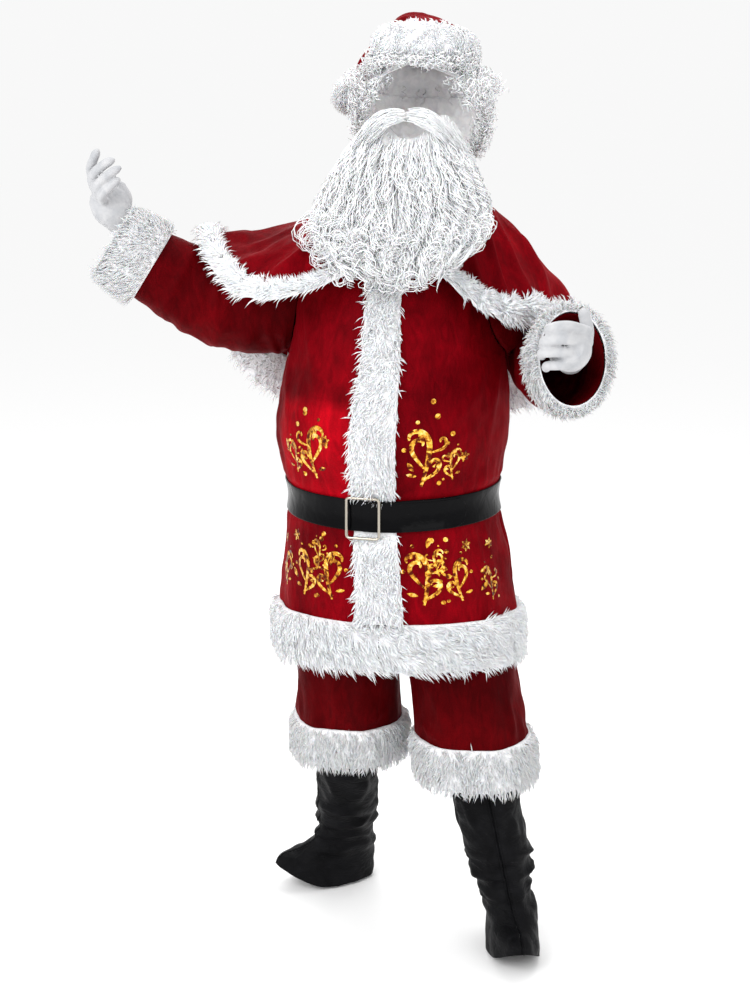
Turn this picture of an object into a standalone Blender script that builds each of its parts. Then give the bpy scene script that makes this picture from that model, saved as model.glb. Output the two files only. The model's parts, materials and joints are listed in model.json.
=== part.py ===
"""A worn Santa suit that keeps its wearer's pose with nobody inside.

Hat, curly wig, beard and moustache, capelet, jacket, belt, gloves, knee breeches and boot covers.
Metres, +Z up. The front faces -Y and the wearer's left is on the +X side. Heights are measured
from the floor, and the empty named wearer then lowers everything so that the origin lies between
the shoulders, where the wearer's body carries the suit.

Each cloth piece is a wall between two grids of points: its outer face, read from a surface that
is worked out from a short table of sections, and its inner face, moved in along the normals.
"""

import math

import bmesh
import bpy
import numpy as np
from mathutils import Vector
from mathutils.bvhtree import BVHTree

# Driving sizes of the suit, in metres
SHOULDER_HEIGHT = 1.44
CLOTH = 0.0022
THIN_CLOTH = 0.0016
GAP = 0.0003
LOOSE_GAP = 0.0008
FUR_DEPTH = 0.016
BELT_THICKNESS = 0.0026
BUCKLE_WIRE = 0.0022
BUCKLE_WIDTH = 0.056
BUCKLE_HEIGHT = 0.074
BUCKLE_OFFSET = -0.018
POMPOM_RADIUS = 0.030

# Heights of the jacket's rows: its fur hem, its belt and the rows between
HEM_ROWS = (0.608, 0.655, 0.700)
SKIRT_ROWS = (0.760, 0.820, 0.875)
BELT_ROWS = (0.895, 0.925, 0.955)
BELLY_ROWS = (0.975, 1.020, 1.080, 1.140)
YOKE_ROWS = (1.438, 1.462, 1.484)
ARMHOLE_HEIGHT = 1.308
ARMHOLE_HALF_HEIGHT = 0.106
ARMHOLE_HALF_TURN = 27.0
SIDE_TURN = 90.0
SEAM_TURN = 0.05
PLACKET_TURNS = (5.5, 11.0)
SLEEVE_COLUMNS = 16
FRONT_COLUMNS = 5
BACK_COLUMNS = 10
HEM_RIDE = 0.028

FACE_TURN = 50.0
CHEEK_TURN = 84.0
EPSILON = 1e-4


def smooth_curve(keys, values, at):
    """Reads a smooth curve through values that are given at rising keys."""
    keys = np.asarray(keys, float)
    values = np.asarray(values, float)
    at = np.clip(np.asarray(at, float), keys[0], keys[-1])
    slopes = np.gradient(values, keys, axis=0)
    first = np.clip(np.searchsorted(keys, at, side="right") - 1, 0, len(keys) - 2)
    span = keys[first + 1] - keys[first]
    t = (at - keys[first]) / span
    if values.ndim > 1:
        t = t[..., None]
        span = span[..., None]
    start = values[first] * (2 * t**3 - 3 * t**2 + 1) + values[first + 1] * (3 * t**2 - 2 * t**3)
    return start + span * (slopes[first] * (t**3 - 2 * t**2 + t) + slopes[first + 1] * (t**3 - t**2))


def ease(low, high, at):
    """Rises smoothly from 0 at low to 1 at high."""
    t = np.clip((np.asarray(at, float) - low) / (high - low), 0, 1)
    return t * t * (3 - 2 * t)


def bump(at, centre, width):
    """A soft ridge, 1 high, that has faded away one and a half widths from its centre."""
    return np.exp(-(((np.asarray(at, float) - centre) / width) ** 2))


class Table:
    """A short table of sections. Each column is a smooth curve along the first one."""

    def __init__(self, columns, *rows):
        self.columns = columns.split()
        self.rows = np.array(rows, float)
        self.keys = self.rows[:, 0]

    def read(self, column, at):
        return smooth_curve(self.keys, self.rows[:, self.columns.index(column)], at)

    def points(self, names, at):
        picked = self.rows[:, [self.columns.index(name) for name in names.split()]]
        return smooth_curve(self.keys, picked, at)


def unit(vectors):
    return vectors / np.maximum(np.linalg.norm(vectors, axis=-1, keepdims=True), 1e-12)


def layer(surface, across, along, lift=0.0):
    """Points of a surface moved out along its normals by lift, which may differ from point to point."""
    across, along = np.broadcast_arrays(np.asarray(across, float), np.asarray(along, float))
    step_across = 0.5
    step_along = EPSILON * 10
    side = surface(across + step_across, along) - surface(across - step_across, along)
    up = surface(across, along + step_along) - surface(across, along - step_along)
    normal = unit(np.cross(side, up))
    return surface(across, along) + normal * np.asarray(lift, float)[..., None]


def limb(table, reference, flip=1.0):
    """The surface of a cloth tube round the smooth line of a table.

    The columns are station, x y z, half height and half width.

    The turn is in degrees from the ring's top, which points along the reference direction.
    """
    reference = np.asarray(reference, float)

    def surface(turn, station):
        turn = np.radians(turn)
        centre = table.points("x y z", station)
        ahead = table.points("x y z", np.clip(station + 0.02, table.keys[0], table.keys[-1]))
        behind = table.points("x y z", np.clip(station - 0.02, table.keys[0], table.keys[-1]))
        along = unit(ahead - behind)
        top = unit(reference - along * (along @ reference)[..., None])
        side = np.cross(along, top)
        height = table.read("half_height", station) * np.cos(turn)
        width = table.read("half_width", station) * np.sin(turn) * flip
        return centre + top * height[..., None] + side * width[..., None]

    return surface


# Materials

def material(name, colour, roughness, metallic=0.0):
    """A Principled finish in the piece's own colour."""
    made = bpy.data.materials.new(name)
    made.use_nodes = True
    shader = made.node_tree.nodes["Principled BSDF"]
    shader.inputs["Base Color"].default_value = (*colour, 1.0)
    shader.inputs["Roughness"].default_value = roughness
    shader.inputs["Metallic"].default_value = metallic
    return made


def all_materials():
    return {
        "red_velvet": material("red_velvet", (0.33, 0.004, 0.012), 0.8),
        "white_plush": material("white_plush", (0.86, 0.86, 0.88), 0.9),
        "white_hair": material("white_hair", (0.84, 0.85, 0.87), 0.6),
        "white_knit": material("white_knit", (0.80, 0.80, 0.79), 0.8),
        "black_vinyl": material("black_vinyl", (0.008, 0.008, 0.009), 0.2),
        "black_leather": material("black_leather", (0.012, 0.012, 0.015), 0.45),
        "nickel": material("nickel", (0.72, 0.68, 0.62), 0.25, 1.0),
    }


# Building solids

class Suit:
    """Collects the finished objects under one empty and in one collection."""

    def __init__(self):
        self.collection = bpy.data.collections.new("santa_suit")
        bpy.context.scene.collection.children.link(self.collection)
        self.wearer = bpy.data.objects.new("wearer", None)
        self.wearer.location = (0, 0, -SHOULDER_HEIGHT)
        self.collection.objects.link(self.wearer)
        self.materials = all_materials()

    def add(self, name, mesh, finish):
        made = bpy.data.objects.new(name, mesh)
        made.parent = self.wearer
        self.collection.objects.link(made)
        mesh.materials.clear()
        mesh.materials.append(self.materials[finish])
        mesh.shade_smooth()
        mesh.set_sharp_from_angle(angle=math.radians(50))
        return made

    def wall(self, name, outer, inner, finish, ring=False):
        """A closed wall between an outer and an inner grid of rows by columns of points."""
        return self.add(name, wall_mesh(name, outer, inner, ring), finish)


def wall_mesh(name, outer, inner, ring):
    rows, columns = outer.shape[:2]
    count = rows * columns
    vertices = np.concatenate([outer.reshape(-1, 3), inner.reshape(-1, 3)])
    faces = []

    def quad(a, b, c, d):
        faces.append((a, b, c))
        faces.append((a, c, d))

    last = columns if ring else columns - 1
    for row in range(rows - 1):
        for column in range(last):
            a = row * columns + column
            b = row * columns + (column + 1) % columns
            c, d = b + columns, a + columns
            quad(a, b, c, d)
            faces.append((c + count, b + count, a + count))
            faces.append((d + count, c + count, a + count))
    for column in range(last):
        for row, turned in ((0, True), (rows - 1, False)):
            a = row * columns + column
            b = row * columns + (column + 1) % columns
            corners = (a, b, b + count, a + count)
            quad(*(reversed(corners) if turned else corners))
    if not ring:
        for row in range(rows - 1):
            for column, turned in ((0, False), (columns - 1, True)):
                a = row * columns + column
                b = a + columns
                corners = (a, b, b + count, a + count)
                quad(*(reversed(corners) if turned else corners))
    mesh = bpy.data.meshes.new(name)
    mesh.from_pydata(vertices.tolist(), [], faces)
    tidy = bmesh.new()
    tidy.from_mesh(mesh)
    bmesh.ops.recalc_face_normals(tidy, faces=tidy.faces)
    tidy.to_mesh(mesh)
    tidy.free()
    return mesh


def rounded(share, edge=0.35):
    """A fur band's thickness across its width: full in the middle and falling to edge at both sides."""
    share = np.asarray(share, float)
    return edge + (1 - edge) * np.sqrt(np.clip(1 - (2 * share - 1) ** 2, 0, 1))


def tree_of(objects):
    """The outer faces of some finished walls, ready to be searched."""
    vertices = []
    faces = []
    for item in objects:
        start = len(vertices)
        half = len(item.data.vertices) // 2
        vertices.extend(vertex.co.copy() for vertex in item.data.vertices)
        for face in item.data.polygons:
            if max(face.vertices) < half:
                faces.append(tuple(start + i for i in face.vertices))
    return BVHTree.FromPolygons(vertices, faces)


def clear_of(points, tree, distance):
    """Moves each point out until it lies at least this far outside the pieces below it."""
    moved = points.reshape(-1, 3).copy()
    for _ in range(3):
        for i, place in enumerate(moved):
            near, normal, _, _ = tree.find_nearest(Vector(place))
            away = (Vector(place) - near).dot(normal)
            if away < distance:
                moved[i] = place + np.array(normal) * (distance - away)
    return moved.reshape(points.shape)


def grid_normals(grid, ring=False):
    """Normals of a grid of points. A ring's last column is followed by its first."""
    if ring:
        wide = np.concatenate([grid[:, -1:], grid, grid[:, :1]], axis=1)
        across = wide[:, 2:] - wide[:, :-2]
    else:
        across = np.gradient(grid, axis=1)
    return unit(np.cross(across, np.gradient(grid, axis=0)))


# The jacket's body

TORSO = Table(
    "height centre_x half_width front back",
    (0.570, 0.006, 0.229, 0.223, 0.191),
    (0.600, 0.006, 0.228, 0.222, 0.190),
    (0.700, 0.005, 0.226, 0.220, 0.186),
    (0.800, 0.001, 0.216, 0.219, 0.176),
    (0.875, -0.003, 0.206, 0.219, 0.168),
    (0.925, -0.005, 0.200, 0.217, 0.163),
    (0.975, -0.006, 0.208, 0.224, 0.166),
    (1.050, -0.006, 0.220, 0.244, 0.172),
    (1.130, -0.001, 0.215, 0.239, 0.174),
    (1.210, 0.004, 0.202, 0.218, 0.168),
    (1.300, 0.003, 0.194, 0.192, 0.158),
    (1.370, 0.008, 0.187, 0.165, 0.146),
    (1.410, 0.016, 0.178, 0.145, 0.135),
    (1.440, 0.025, 0.158, 0.122, 0.122),
    (1.465, 0.035, 0.132, 0.100, 0.108),
    (1.490, 0.038, 0.092, 0.082, 0.092),
)

# Soft flutes in the skirt below the belt: where they are, how wide in degrees and how deep
SKIRT_FLUTES = (
    (58, 10, 0.007),
    (84, 9, 0.009),
    (112, 11, 0.007),
    (146, 12, 0.010),
    (181, 12, 0.008),
    (214, 12, 0.010),
    (247, 11, 0.007),
    (276, 9, 0.009),
    (303, 10, 0.006),
)


def skirt_flutes(turn, height):
    """How far the skirt's flutes stand out, growing from nothing at the belt to full depth at the hem."""
    turn = np.mod(turn, 360)
    depth = sum(high * bump(turn, at, wide) for at, wide, high in SKIRT_FLUTES)
    return depth * ease(BELT_ROWS[0], HEM_ROWS[0], height)


def jacket_surface(turn, height):
    """The jacket's outer face. The turn is in degrees from the centre front to the wearer's left."""
    angle = np.radians(turn)
    front, back = TORSO.read("front", height), TORSO.read("back", height)
    depth = np.where(np.cos(angle) > 0, front, back)
    flute = skirt_flutes(turn, height)
    x = TORSO.read("centre_x", height) + (TORSO.read("half_width", height) + flute) * np.sin(angle)
    y = -(depth + flute) * np.cos(angle)
    ride = HEM_RIDE * ((1 + np.cos(angle)) / 2) ** 2 * ease(BELT_ROWS[0], HEM_ROWS[0], height)
    return np.stack([x, y, np.broadcast_to(height, x.shape) + ride], axis=-1)


def armhole_rows():
    """Rows of the jacket that cross the armhole, at the heights of the sleeve's own corners."""
    steps = np.linspace(180, 0, SLEEVE_COLUMNS // 2 + 1)
    return ARMHOLE_HEIGHT + ARMHOLE_HALF_HEIGHT * np.cos(np.radians(steps))


def jacket_rows():
    fixed = (HEM_ROWS, SKIRT_ROWS, BELT_ROWS, BELLY_ROWS, armhole_rows(), YOKE_ROWS)
    return np.concatenate([np.asarray(part, float) for part in fixed])


def armhole_turn(height):
    """How many degrees the armhole opens to each side of the side seam at a height."""
    share = np.clip((np.asarray(height, float) - ARMHOLE_HEIGHT) / ARMHOLE_HALF_HEIGHT, -1, 1)
    return ARMHOLE_HALF_TURN * np.sqrt(1 - share**2)


def front_turns(height):
    """Columns of a jacket front at one height, from the centre front to the side or the armhole."""
    edge = SIDE_TURN - SEAM_TURN - armhole_turn(height)
    rest = np.linspace(PLACKET_TURNS[1], edge, FRONT_COLUMNS + 1)
    return np.concatenate([[SEAM_TURN, PLACKET_TURNS[0]], rest])


def back_turns(height):
    """Columns of the back at one height, from the wearer's left side to the right."""
    edge = SIDE_TURN + SEAM_TURN + armhole_turn(height)
    return np.linspace(edge, 360 - edge, BACK_COLUMNS + 1)


def ring_turns():
    """Columns all the way round below the armholes, from the centre front by the left side and back."""
    front = front_turns(HEM_ROWS[0])
    back = back_turns(HEM_ROWS[0])
    return np.concatenate([front[:-1], [SIDE_TURN], back[1:-1], [360 - SIDE_TURN], 360 - front[-2::-1]])


def jacket(suit):
    heights = jacket_rows()
    along = np.repeat(heights[:, None], FRONT_COLUMNS + 3, axis=1)
    for name, side in (("jacket_front_left", 1), ("jacket_front_right", -1)):
        across = side * np.stack([front_turns(height) for height in heights])
        outer = layer(jacket_surface, across, along)
        suit.wall(name, outer, layer(jacket_surface, across, along, -CLOTH), "red_velvet")
    across = np.stack([back_turns(height) for height in heights])
    along = np.repeat(heights[:, None], across.shape[1], axis=1)
    outer = layer(jacket_surface, across, along)
    suit.wall("jacket_back", outer, layer(jacket_surface, across, along, -CLOTH), "red_velvet")


def jacket_hem(suit):
    """The white plush band round the hem, open at the centre front as the jacket is."""
    heights = np.array([HEM_ROWS[0] - 0.008, *HEM_ROWS])
    across, along = np.meshgrid(ring_turns(), heights)
    share = (along - heights[0]) / (heights[-1] - heights[0])
    inner = layer(jacket_surface, across, along, 1.7 * GAP)
    outer = layer(jacket_surface, across, along, GAP + FUR_DEPTH * rounded(share))
    suit.wall("jacket_hem_plush", outer, inner, "white_plush")


PLACKET_SQUEEZE = 0.0035
PLACKET_TOP = 1.420


def placket(suit):
    """The white plush strip down the centre front, pressed flat where the belt crosses it."""
    heights = jacket_rows()
    heights = heights[(heights > HEM_ROWS[-1] - EPSILON) & (heights < PLACKET_TOP)]
    heights[0] += 2 * GAP
    turns = np.array([-PLACKET_TURNS[1], -PLACKET_TURNS[0], 0.0, PLACKET_TURNS[0], PLACKET_TURNS[1]])
    across, along = np.meshgrid(turns, heights)
    share = (across - turns[0]) / (turns[-1] - turns[0])
    away = np.maximum(BELT_ROWS[0] - along, along - BELT_ROWS[-1])
    free = ease(0.008, 0.045, away) * ease(1.40, 1.34, along)
    depth = PLACKET_SQUEEZE + (FUR_DEPTH * rounded(share) - PLACKET_SQUEEZE) * free
    inner = layer(jacket_surface, across, along, GAP)
    suit.wall("placket_plush", layer(jacket_surface, across, along, GAP + depth), inner, "white_plush")


def belt_lift(turn):
    """The belt lies on the jacket, and rides up over the flattened placket at the front."""
    turn = np.abs((np.asarray(turn, float) + 180) % 360 - 180)
    next_turn = front_turns(BELT_ROWS[0])[3]
    return GAP + (PLACKET_SQUEEZE + GAP) * (1 - ease(PLACKET_TURNS[1] + EPSILON, next_turn, turn))


BELT_TAIL_TURNS = 4
BELT_END_TAPER = 0.55


def belt(suit):
    """A wide vinyl strap right round the waist, and its free end lying over it on the wearer's left."""
    turns = ring_turns()[:-1]
    turns[0] = 0.0
    across, along = np.meshgrid(turns, BELT_ROWS)
    lift = belt_lift(across)
    inner = layer(jacket_surface, across, along, lift)
    outer = layer(jacket_surface, across, along, lift + BELT_THICKNESS)
    suit.wall("belt_strap", outer, inner, "black_vinyl", ring=True)
    front = front_turns(BELT_ROWS[0])
    turns = np.array([-PLACKET_TURNS[0], 0.0, *front[1 : BELT_TAIL_TURNS + 2]])
    across, along = np.meshgrid(turns, BELT_ROWS)
    lift = belt_lift(across) + BELT_THICKNESS + GAP
    inner = layer(jacket_surface, across, along, lift)
    outer = layer(jacket_surface, across, along, lift + BELT_THICKNESS)
    for grid in (inner, outer):
        grid[0, -1] += (grid[1, -1] - grid[0, -1]) * BELT_END_TAPER
        grid[2, -1] += (grid[1, -1] - grid[2, -1]) * BELT_END_TAPER
    suit.wall("belt_tail", outer, inner, "black_vinyl")


def curve_mesh(suit, name, points, radius, finish, closed=True):
    """A wire along a line of points, made a mesh."""
    data = bpy.data.curves.new(name, "CURVE")
    data.dimensions = "3D"
    data.bevel_depth = radius
    data.bevel_resolution = 2
    data.use_fill_caps = not closed
    line = data.splines.new("POLY")
    line.points.add(len(points) - 1)
    for point, place in zip(line.points, points):
        point.co = (*place, 1.0)
    line.use_cyclic_u = closed
    source = bpy.data.objects.new(name + "_line", data)
    suit.collection.objects.link(source)
    graph = bpy.context.evaluated_depsgraph_get()
    mesh = bpy.data.meshes.new_from_object(source.evaluated_get(graph))
    bpy.data.objects.remove(source)
    tidy = bmesh.new()
    tidy.from_mesh(mesh)
    bmesh.ops.remove_doubles(tidy, verts=tidy.verts, dist=0.00002)
    tidy.to_mesh(mesh)
    tidy.free()
    return suit.add(name, mesh, finish)


def buckle(suit):
    """A plain open wire frame with rounded corners, standing in front of the strap."""
    middle = 0.5 * (BELT_ROWS[0] + BELT_ROWS[-1]) - 0.004
    lift = belt_lift(0.0) + 2 * BELT_THICKNESS + 2 * GAP + BUCKLE_WIRE + 0.0032
    corner = 0.006
    corners = []
    for turn in range(0, 360, 30):
        angle = math.radians(turn)
        x = math.copysign(BUCKLE_WIDTH / 2 - corner, math.cos(angle + 0.01)) + corner * math.cos(angle)
        z = math.copysign(BUCKLE_HEIGHT / 2 - corner, math.sin(angle + 0.01)) + corner * math.sin(angle)
        around = math.degrees(math.asin((x + BUCKLE_OFFSET) / float(TORSO.read("half_width", middle))))
        place = layer(jacket_surface, np.array(around), np.array(middle), lift)
        corners.append((place[0], place[1], middle + z))
    curve_mesh(suit, "buckle_frame", corners, BUCKLE_WIRE, "nickel")


# Sleeves and cuffs

SLEEVE_COLUMNS_NAMES = "station x y z half_height half_width"

RIGHT_SLEEVE = Table(
    SLEEVE_COLUMNS_NAMES,
    (0.00, -0.188, 0.000, 1.305, 0.106, 0.090),
    (0.14, -0.232, -0.012, 1.286, 0.098, 0.084),
    (0.30, -0.284, -0.028, 1.280, 0.088, 0.079),
    (0.46, -0.340, -0.045, 1.290, 0.080, 0.073),
    (0.62, -0.395, -0.062, 1.318, 0.075, 0.069),
    (0.78, -0.444, -0.078, 1.350, 0.069, 0.066),
    (1.00, -0.514, -0.094, 1.396, 0.060, 0.060),
)

LEFT_SLEEVE = Table(
    SLEEVE_COLUMNS_NAMES,
    (0.00, 0.200, 0.004, 1.308, 0.106, 0.080),
    (0.10, 0.226, 0.022, 1.278, 0.094, 0.060),
    (0.24, 0.246, 0.042, 1.232, 0.086, 0.050),
    (0.36, 0.263, 0.032, 1.194, 0.078, 0.052),
    (0.50, 0.290, -0.035, 1.180, 0.074, 0.060),
    (0.66, 0.309, -0.120, 1.190, 0.071, 0.060),
    (0.82, 0.328, -0.198, 1.206, 0.074, 0.058),
    (1.00, 0.346, -0.272, 1.226, 0.080, 0.056),
)

# Soft rings of crumpled cloth along a sleeve: station, width and height, and how far round each one turns
RIGHT_SLEEVE_FOLDS = (
    (0.30, 0.035, 0.006, 180),
    (0.42, 0.035, 0.007, 200),
    (0.55, 0.03, 0.005, 160),
    (0.67, 0.03, 0.005, 30),
)
LEFT_SLEEVE_FOLDS = (
    (0.26, 0.03, 0.006, 90),
    (0.38, 0.03, 0.007, 180),
    (0.52, 0.03, 0.006, 150),
    (0.66, 0.03, 0.005, 40),
)
SLEEVE_STATIONS = (0.0, 0.06, 0.13, 0.21, 0.30, 0.36, 0.42, 0.48, 0.55, 0.61, 0.70, 0.80, 0.88, 0.96)
ARMHOLE_BLEND = 0.22
CUFF_STATIONS = (0.80, 0.88, 0.96, 1.0)


def sleeve_surface(table, folds, side):
    """A sleeve: its first rings follow the armhole's edge on the jacket, and the rest go round the arm."""
    tube = limb(table, (0, 0, 1))

    def surface(turn, station):
        angle = np.radians(turn)
        around = side * SIDE_TURN - ARMHOLE_HALF_TURN * np.sin(angle)
        height = ARMHOLE_HEIGHT + ARMHOLE_HALF_HEIGHT * np.cos(angle)
        edge = layer(jacket_surface, around, height, GAP + CLOTH)
        start = table.points("x y z", np.zeros_like(np.asarray(station, float)))
        moved = edge + (table.points("x y z", station) - start)
        crumple = sum(
            high * bump(station, at, wide) * (0.55 + 0.45 * np.cos(np.radians(turn - facing)))
            for at, wide, high, facing in folds
        )
        share = ease(0, ARMHOLE_BLEND, station)[..., None]
        centre = table.points("x y z", station)
        round_arm = tube(turn, station)
        round_arm = round_arm + unit(round_arm - centre) * crumple[..., None]
        return moved * (1 - share) + round_arm * share

    return surface


SLEEVE_CLEARANCE = 0.0092


def sleeve(suit, name, table, folds, side, under):
    surface = sleeve_surface(table, folds, side)
    turns = np.arange(SLEEVE_COLUMNS) * 360 / SLEEVE_COLUMNS
    across, along = np.meshgrid(turns, SLEEVE_STATIONS)
    outer = surface(across, along)
    outer[1:] = clear_of(outer[1:], tree_of(under), SLEEVE_CLEARANCE)
    inner = outer - grid_normals(outer, ring=True) * CLOTH
    angle = np.radians(turns)
    around = side * SIDE_TURN - ARMHOLE_HALF_TURN * np.sin(angle)
    height = ARMHOLE_HEIGHT + ARMHOLE_HALF_HEIGHT * np.cos(angle)
    inner[0] = layer(jacket_surface, around, height, GAP)
    suit.wall(f"sleeve_{name}", outer, inner, "red_velvet", ring=True)
    across, along = np.meshgrid(turns, CUFF_STATIONS)
    share = (along - CUFF_STATIONS[0]) / (CUFF_STATIONS[-1] - CUFF_STATIONS[0])
    inner = layer(surface, across, along, GAP)
    outer = layer(surface, across, along, GAP + FUR_DEPTH * rounded(share, 0.5))
    suit.wall(f"cuff_plush_{name}", outer, inner, "white_plush", ring=True)


# Knee breeches

WAIST_ROWS = (0.925, 0.955)
BREECH_HEIGHTS = (0.955, 0.925, 0.880, 0.830, 0.780, 0.730, 0.680, 0.620, 0.560, 0.500, 0.446, 0.416, 0.388)
BREECH_CUFF_HEIGHTS = (0.446, 0.416, 0.388, 0.368)
RISE_TOP = 0.86
RISE_FOOT = 0.66
HIP_EASE = 0.010

LEFT_LEG = Table(
    "height x y half_width half_depth",
    (0.340, 0.168, -0.030, 0.110, 0.104),
    (0.432, 0.157, -0.022, 0.109, 0.104),
    (0.520, 0.142, -0.014, 0.107, 0.106),
    (0.620, 0.124, -0.006, 0.106, 0.112),
    (0.720, 0.114, 0.000, 0.104, 0.120),
    (0.960, 0.110, 0.000, 0.100, 0.130),
)

RIGHT_LEG = Table(
    "height x y half_width half_depth",
    (0.340, -0.106, 0.060, 0.107, 0.102),
    (0.432, -0.102, 0.046, 0.106, 0.103),
    (0.520, -0.100, 0.028, 0.103, 0.106),
    (0.620, -0.104, 0.010, 0.102, 0.112),
    (0.720, -0.108, 0.000, 0.101, 0.120),
    (0.960, -0.112, 0.000, 0.100, 0.130),
)

# Soft folds down the legs: quarter turn round the leg, width and height
LEG_FOLDS = ((0.18, 0.04, 0.006), (0.34, 0.04, 0.007), (0.62, 0.05, 0.006), (0.82, 0.05, 0.007))


def leg_surface(table, side):
    """One leg of the breeches, cut in one piece.

    The share runs from 0 at the centre front or inseam, by the outer side, to 1 at the centre back.
    Above the crotch the piece covers half of the hips, and below it the piece closes round the leg.
    """

    def surface(share, height):
        share = np.asarray(share, float) / 360
        seat = side * (SEAM_TURN * 2 + share * (180 - SEAM_TURN * 4))
        inset = CLOTH + LOOSE_GAP + HIP_EASE * ease(WAIST_ROWS[0], RISE_TOP, height)
        hips = layer(jacket_surface, seat, height, -inset)
        angle = np.radians(share * (360 - 0.4) + 0.2)
        fold = sum(high * bump(share, at, wide) for at, wide, high in LEG_FOLDS)
        fold = fold * ease(0.70, 0.52, height)
        x = table.read("x", height) - side * (table.read("half_width", height) + fold) * np.cos(angle)
        y = table.read("y", height) - (table.read("half_depth", height) + fold) * np.sin(angle)
        leg = np.stack([x, y, np.broadcast_to(height, x.shape)], axis=-1)
        drop = ease(RISE_TOP, RISE_FOOT, height)[..., None]
        return hips * (1 - drop) + leg * drop

    return surface


def leg_shares():
    """Columns of a leg, which match the jacket's own at the waist."""
    half = ring_turns()
    half = half[half < 180 + EPSILON]
    return half / half[-1] * 360


def breeches(suit):
    for name, table, side in (("left", LEFT_LEG, 1), ("right", RIGHT_LEG, -1)):
        surface = leg_surface(table, side)
        across, along = np.meshgrid(leg_shares(), BREECH_HEIGHTS)
        outer = surface(across, along)
        inner = layer(surface, across, along, -side * CLOTH)
        suit.wall(f"breeches_leg_{name}", outer, inner, "red_velvet")
        across, along = np.meshgrid(leg_shares(), BREECH_CUFF_HEIGHTS)
        share = (along - BREECH_CUFF_HEIGHTS[-1]) / (BREECH_CUFF_HEIGHTS[0] - BREECH_CUFF_HEIGHTS[-1])
        inner = layer(surface, across, along, side * GAP)
        outer = layer(surface, across, along, side * (GAP + FUR_DEPTH * rounded(share, 0.5)))
        suit.wall(f"breeches_cuff_plush_{name}", outer, inner, "white_plush")


# Boot covers

BOOT = Table(
    "height ahead half_length half_width",
    (0.000, 0.046, 0.108, 0.051),
    (0.030, 0.042, 0.106, 0.051),
    (0.060, 0.032, 0.096, 0.050),
    (0.090, 0.014, 0.076, 0.049),
    (0.120, 0.002, 0.060, 0.047),
    (0.160, 0.000, 0.058, 0.056),
    (0.220, 0.000, 0.062, 0.063),
    (0.300, 0.000, 0.063, 0.065),
    (0.400, 0.000, 0.066, 0.066),
)
BOOT_HEIGHTS = (0.380, 0.310, 0.250, 0.218, 0.190, 0.166, 0.146, 0.126, 0.105, 0.080, 0.045, 0.006)
BOOT_COLUMNS = 6
# Crumples round the ankle: height, width and how far each stands out, and the side that it faces
BOOT_FOLDS = (
    (0.205, 0.012, 0.007, 40),
    (0.166, 0.011, 0.010, 200),
    (0.126, 0.010, 0.009, -30),
    (0.090, 0.010, 0.006, 150),
)
TOE_RISE = 0.050
TOE_POINT = 0.008


def boot_surface(ankle, heading, lean):
    """A boot cover round a shank that leans, spreading over the instep to a point above the toes.

    The turn is in degrees from the toes towards the wearer's left.
    """
    ahead = np.array([math.sin(heading), -math.cos(heading), 0.0])
    aside = np.array([math.cos(heading), math.sin(heading), 0.0])
    ankle = np.array([*ankle, 0.0])
    lean = np.array([*lean, 0.0])

    def surface(turn, height):
        angle = np.radians(turn)
        crumple = sum(
            high * bump(height, at, wide) * (0.6 + 0.4 * np.cos(np.radians(turn - facing)))
            for at, wide, high, facing in BOOT_FOLDS
        )
        front = np.clip(np.cos(angle), 0, 1)
        low = ease(0.10, 0.0, height)
        length = (BOOT.read("half_length", height) + crumple) * np.cos(angle) + TOE_POINT * front**6 * low
        width = (BOOT.read("half_width", height) + crumple) * np.sin(angle)
        along = BOOT.read("ahead", height) + length
        rise = TOE_RISE * front**2 * low
        shank = np.clip((np.asarray(height, float) - 0.07) / 0.40, 0, 1)
        place = ankle + ahead * along[..., None] + aside * width[..., None] + lean * shank[..., None]
        return place + np.array([0, 0, 1.0]) * (height + rise)[..., None]

    return surface


BOOTS = {
    "left": dict(ankle=(0.236, -0.012), heading=math.radians(14), lean=(-0.082, -0.018)),
    "right": dict(ankle=(-0.146, 0.220), heading=math.radians(-60), lean=(0.046, -0.200)),
}


def boot_covers(suit):
    for name, stance in BOOTS.items():
        surface = boot_surface(**stance)
        for half, sign in (("outer", 1), ("inner", -1)):
            turned = sign if name == "left" else -sign
            turns = turned * np.linspace(0.15, 179.85, BOOT_COLUMNS + 1)
            across, along = np.meshgrid(turns, BOOT_HEIGHTS)
            outer = layer(surface, across, along)
            inner = layer(surface, across, along, -CLOTH)
            suit.wall(f"boot_cover_{name}_{half}", outer, inner, "black_leather")


# Capelet

CAPE_NECK_HEIGHT = 1.472
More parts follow.
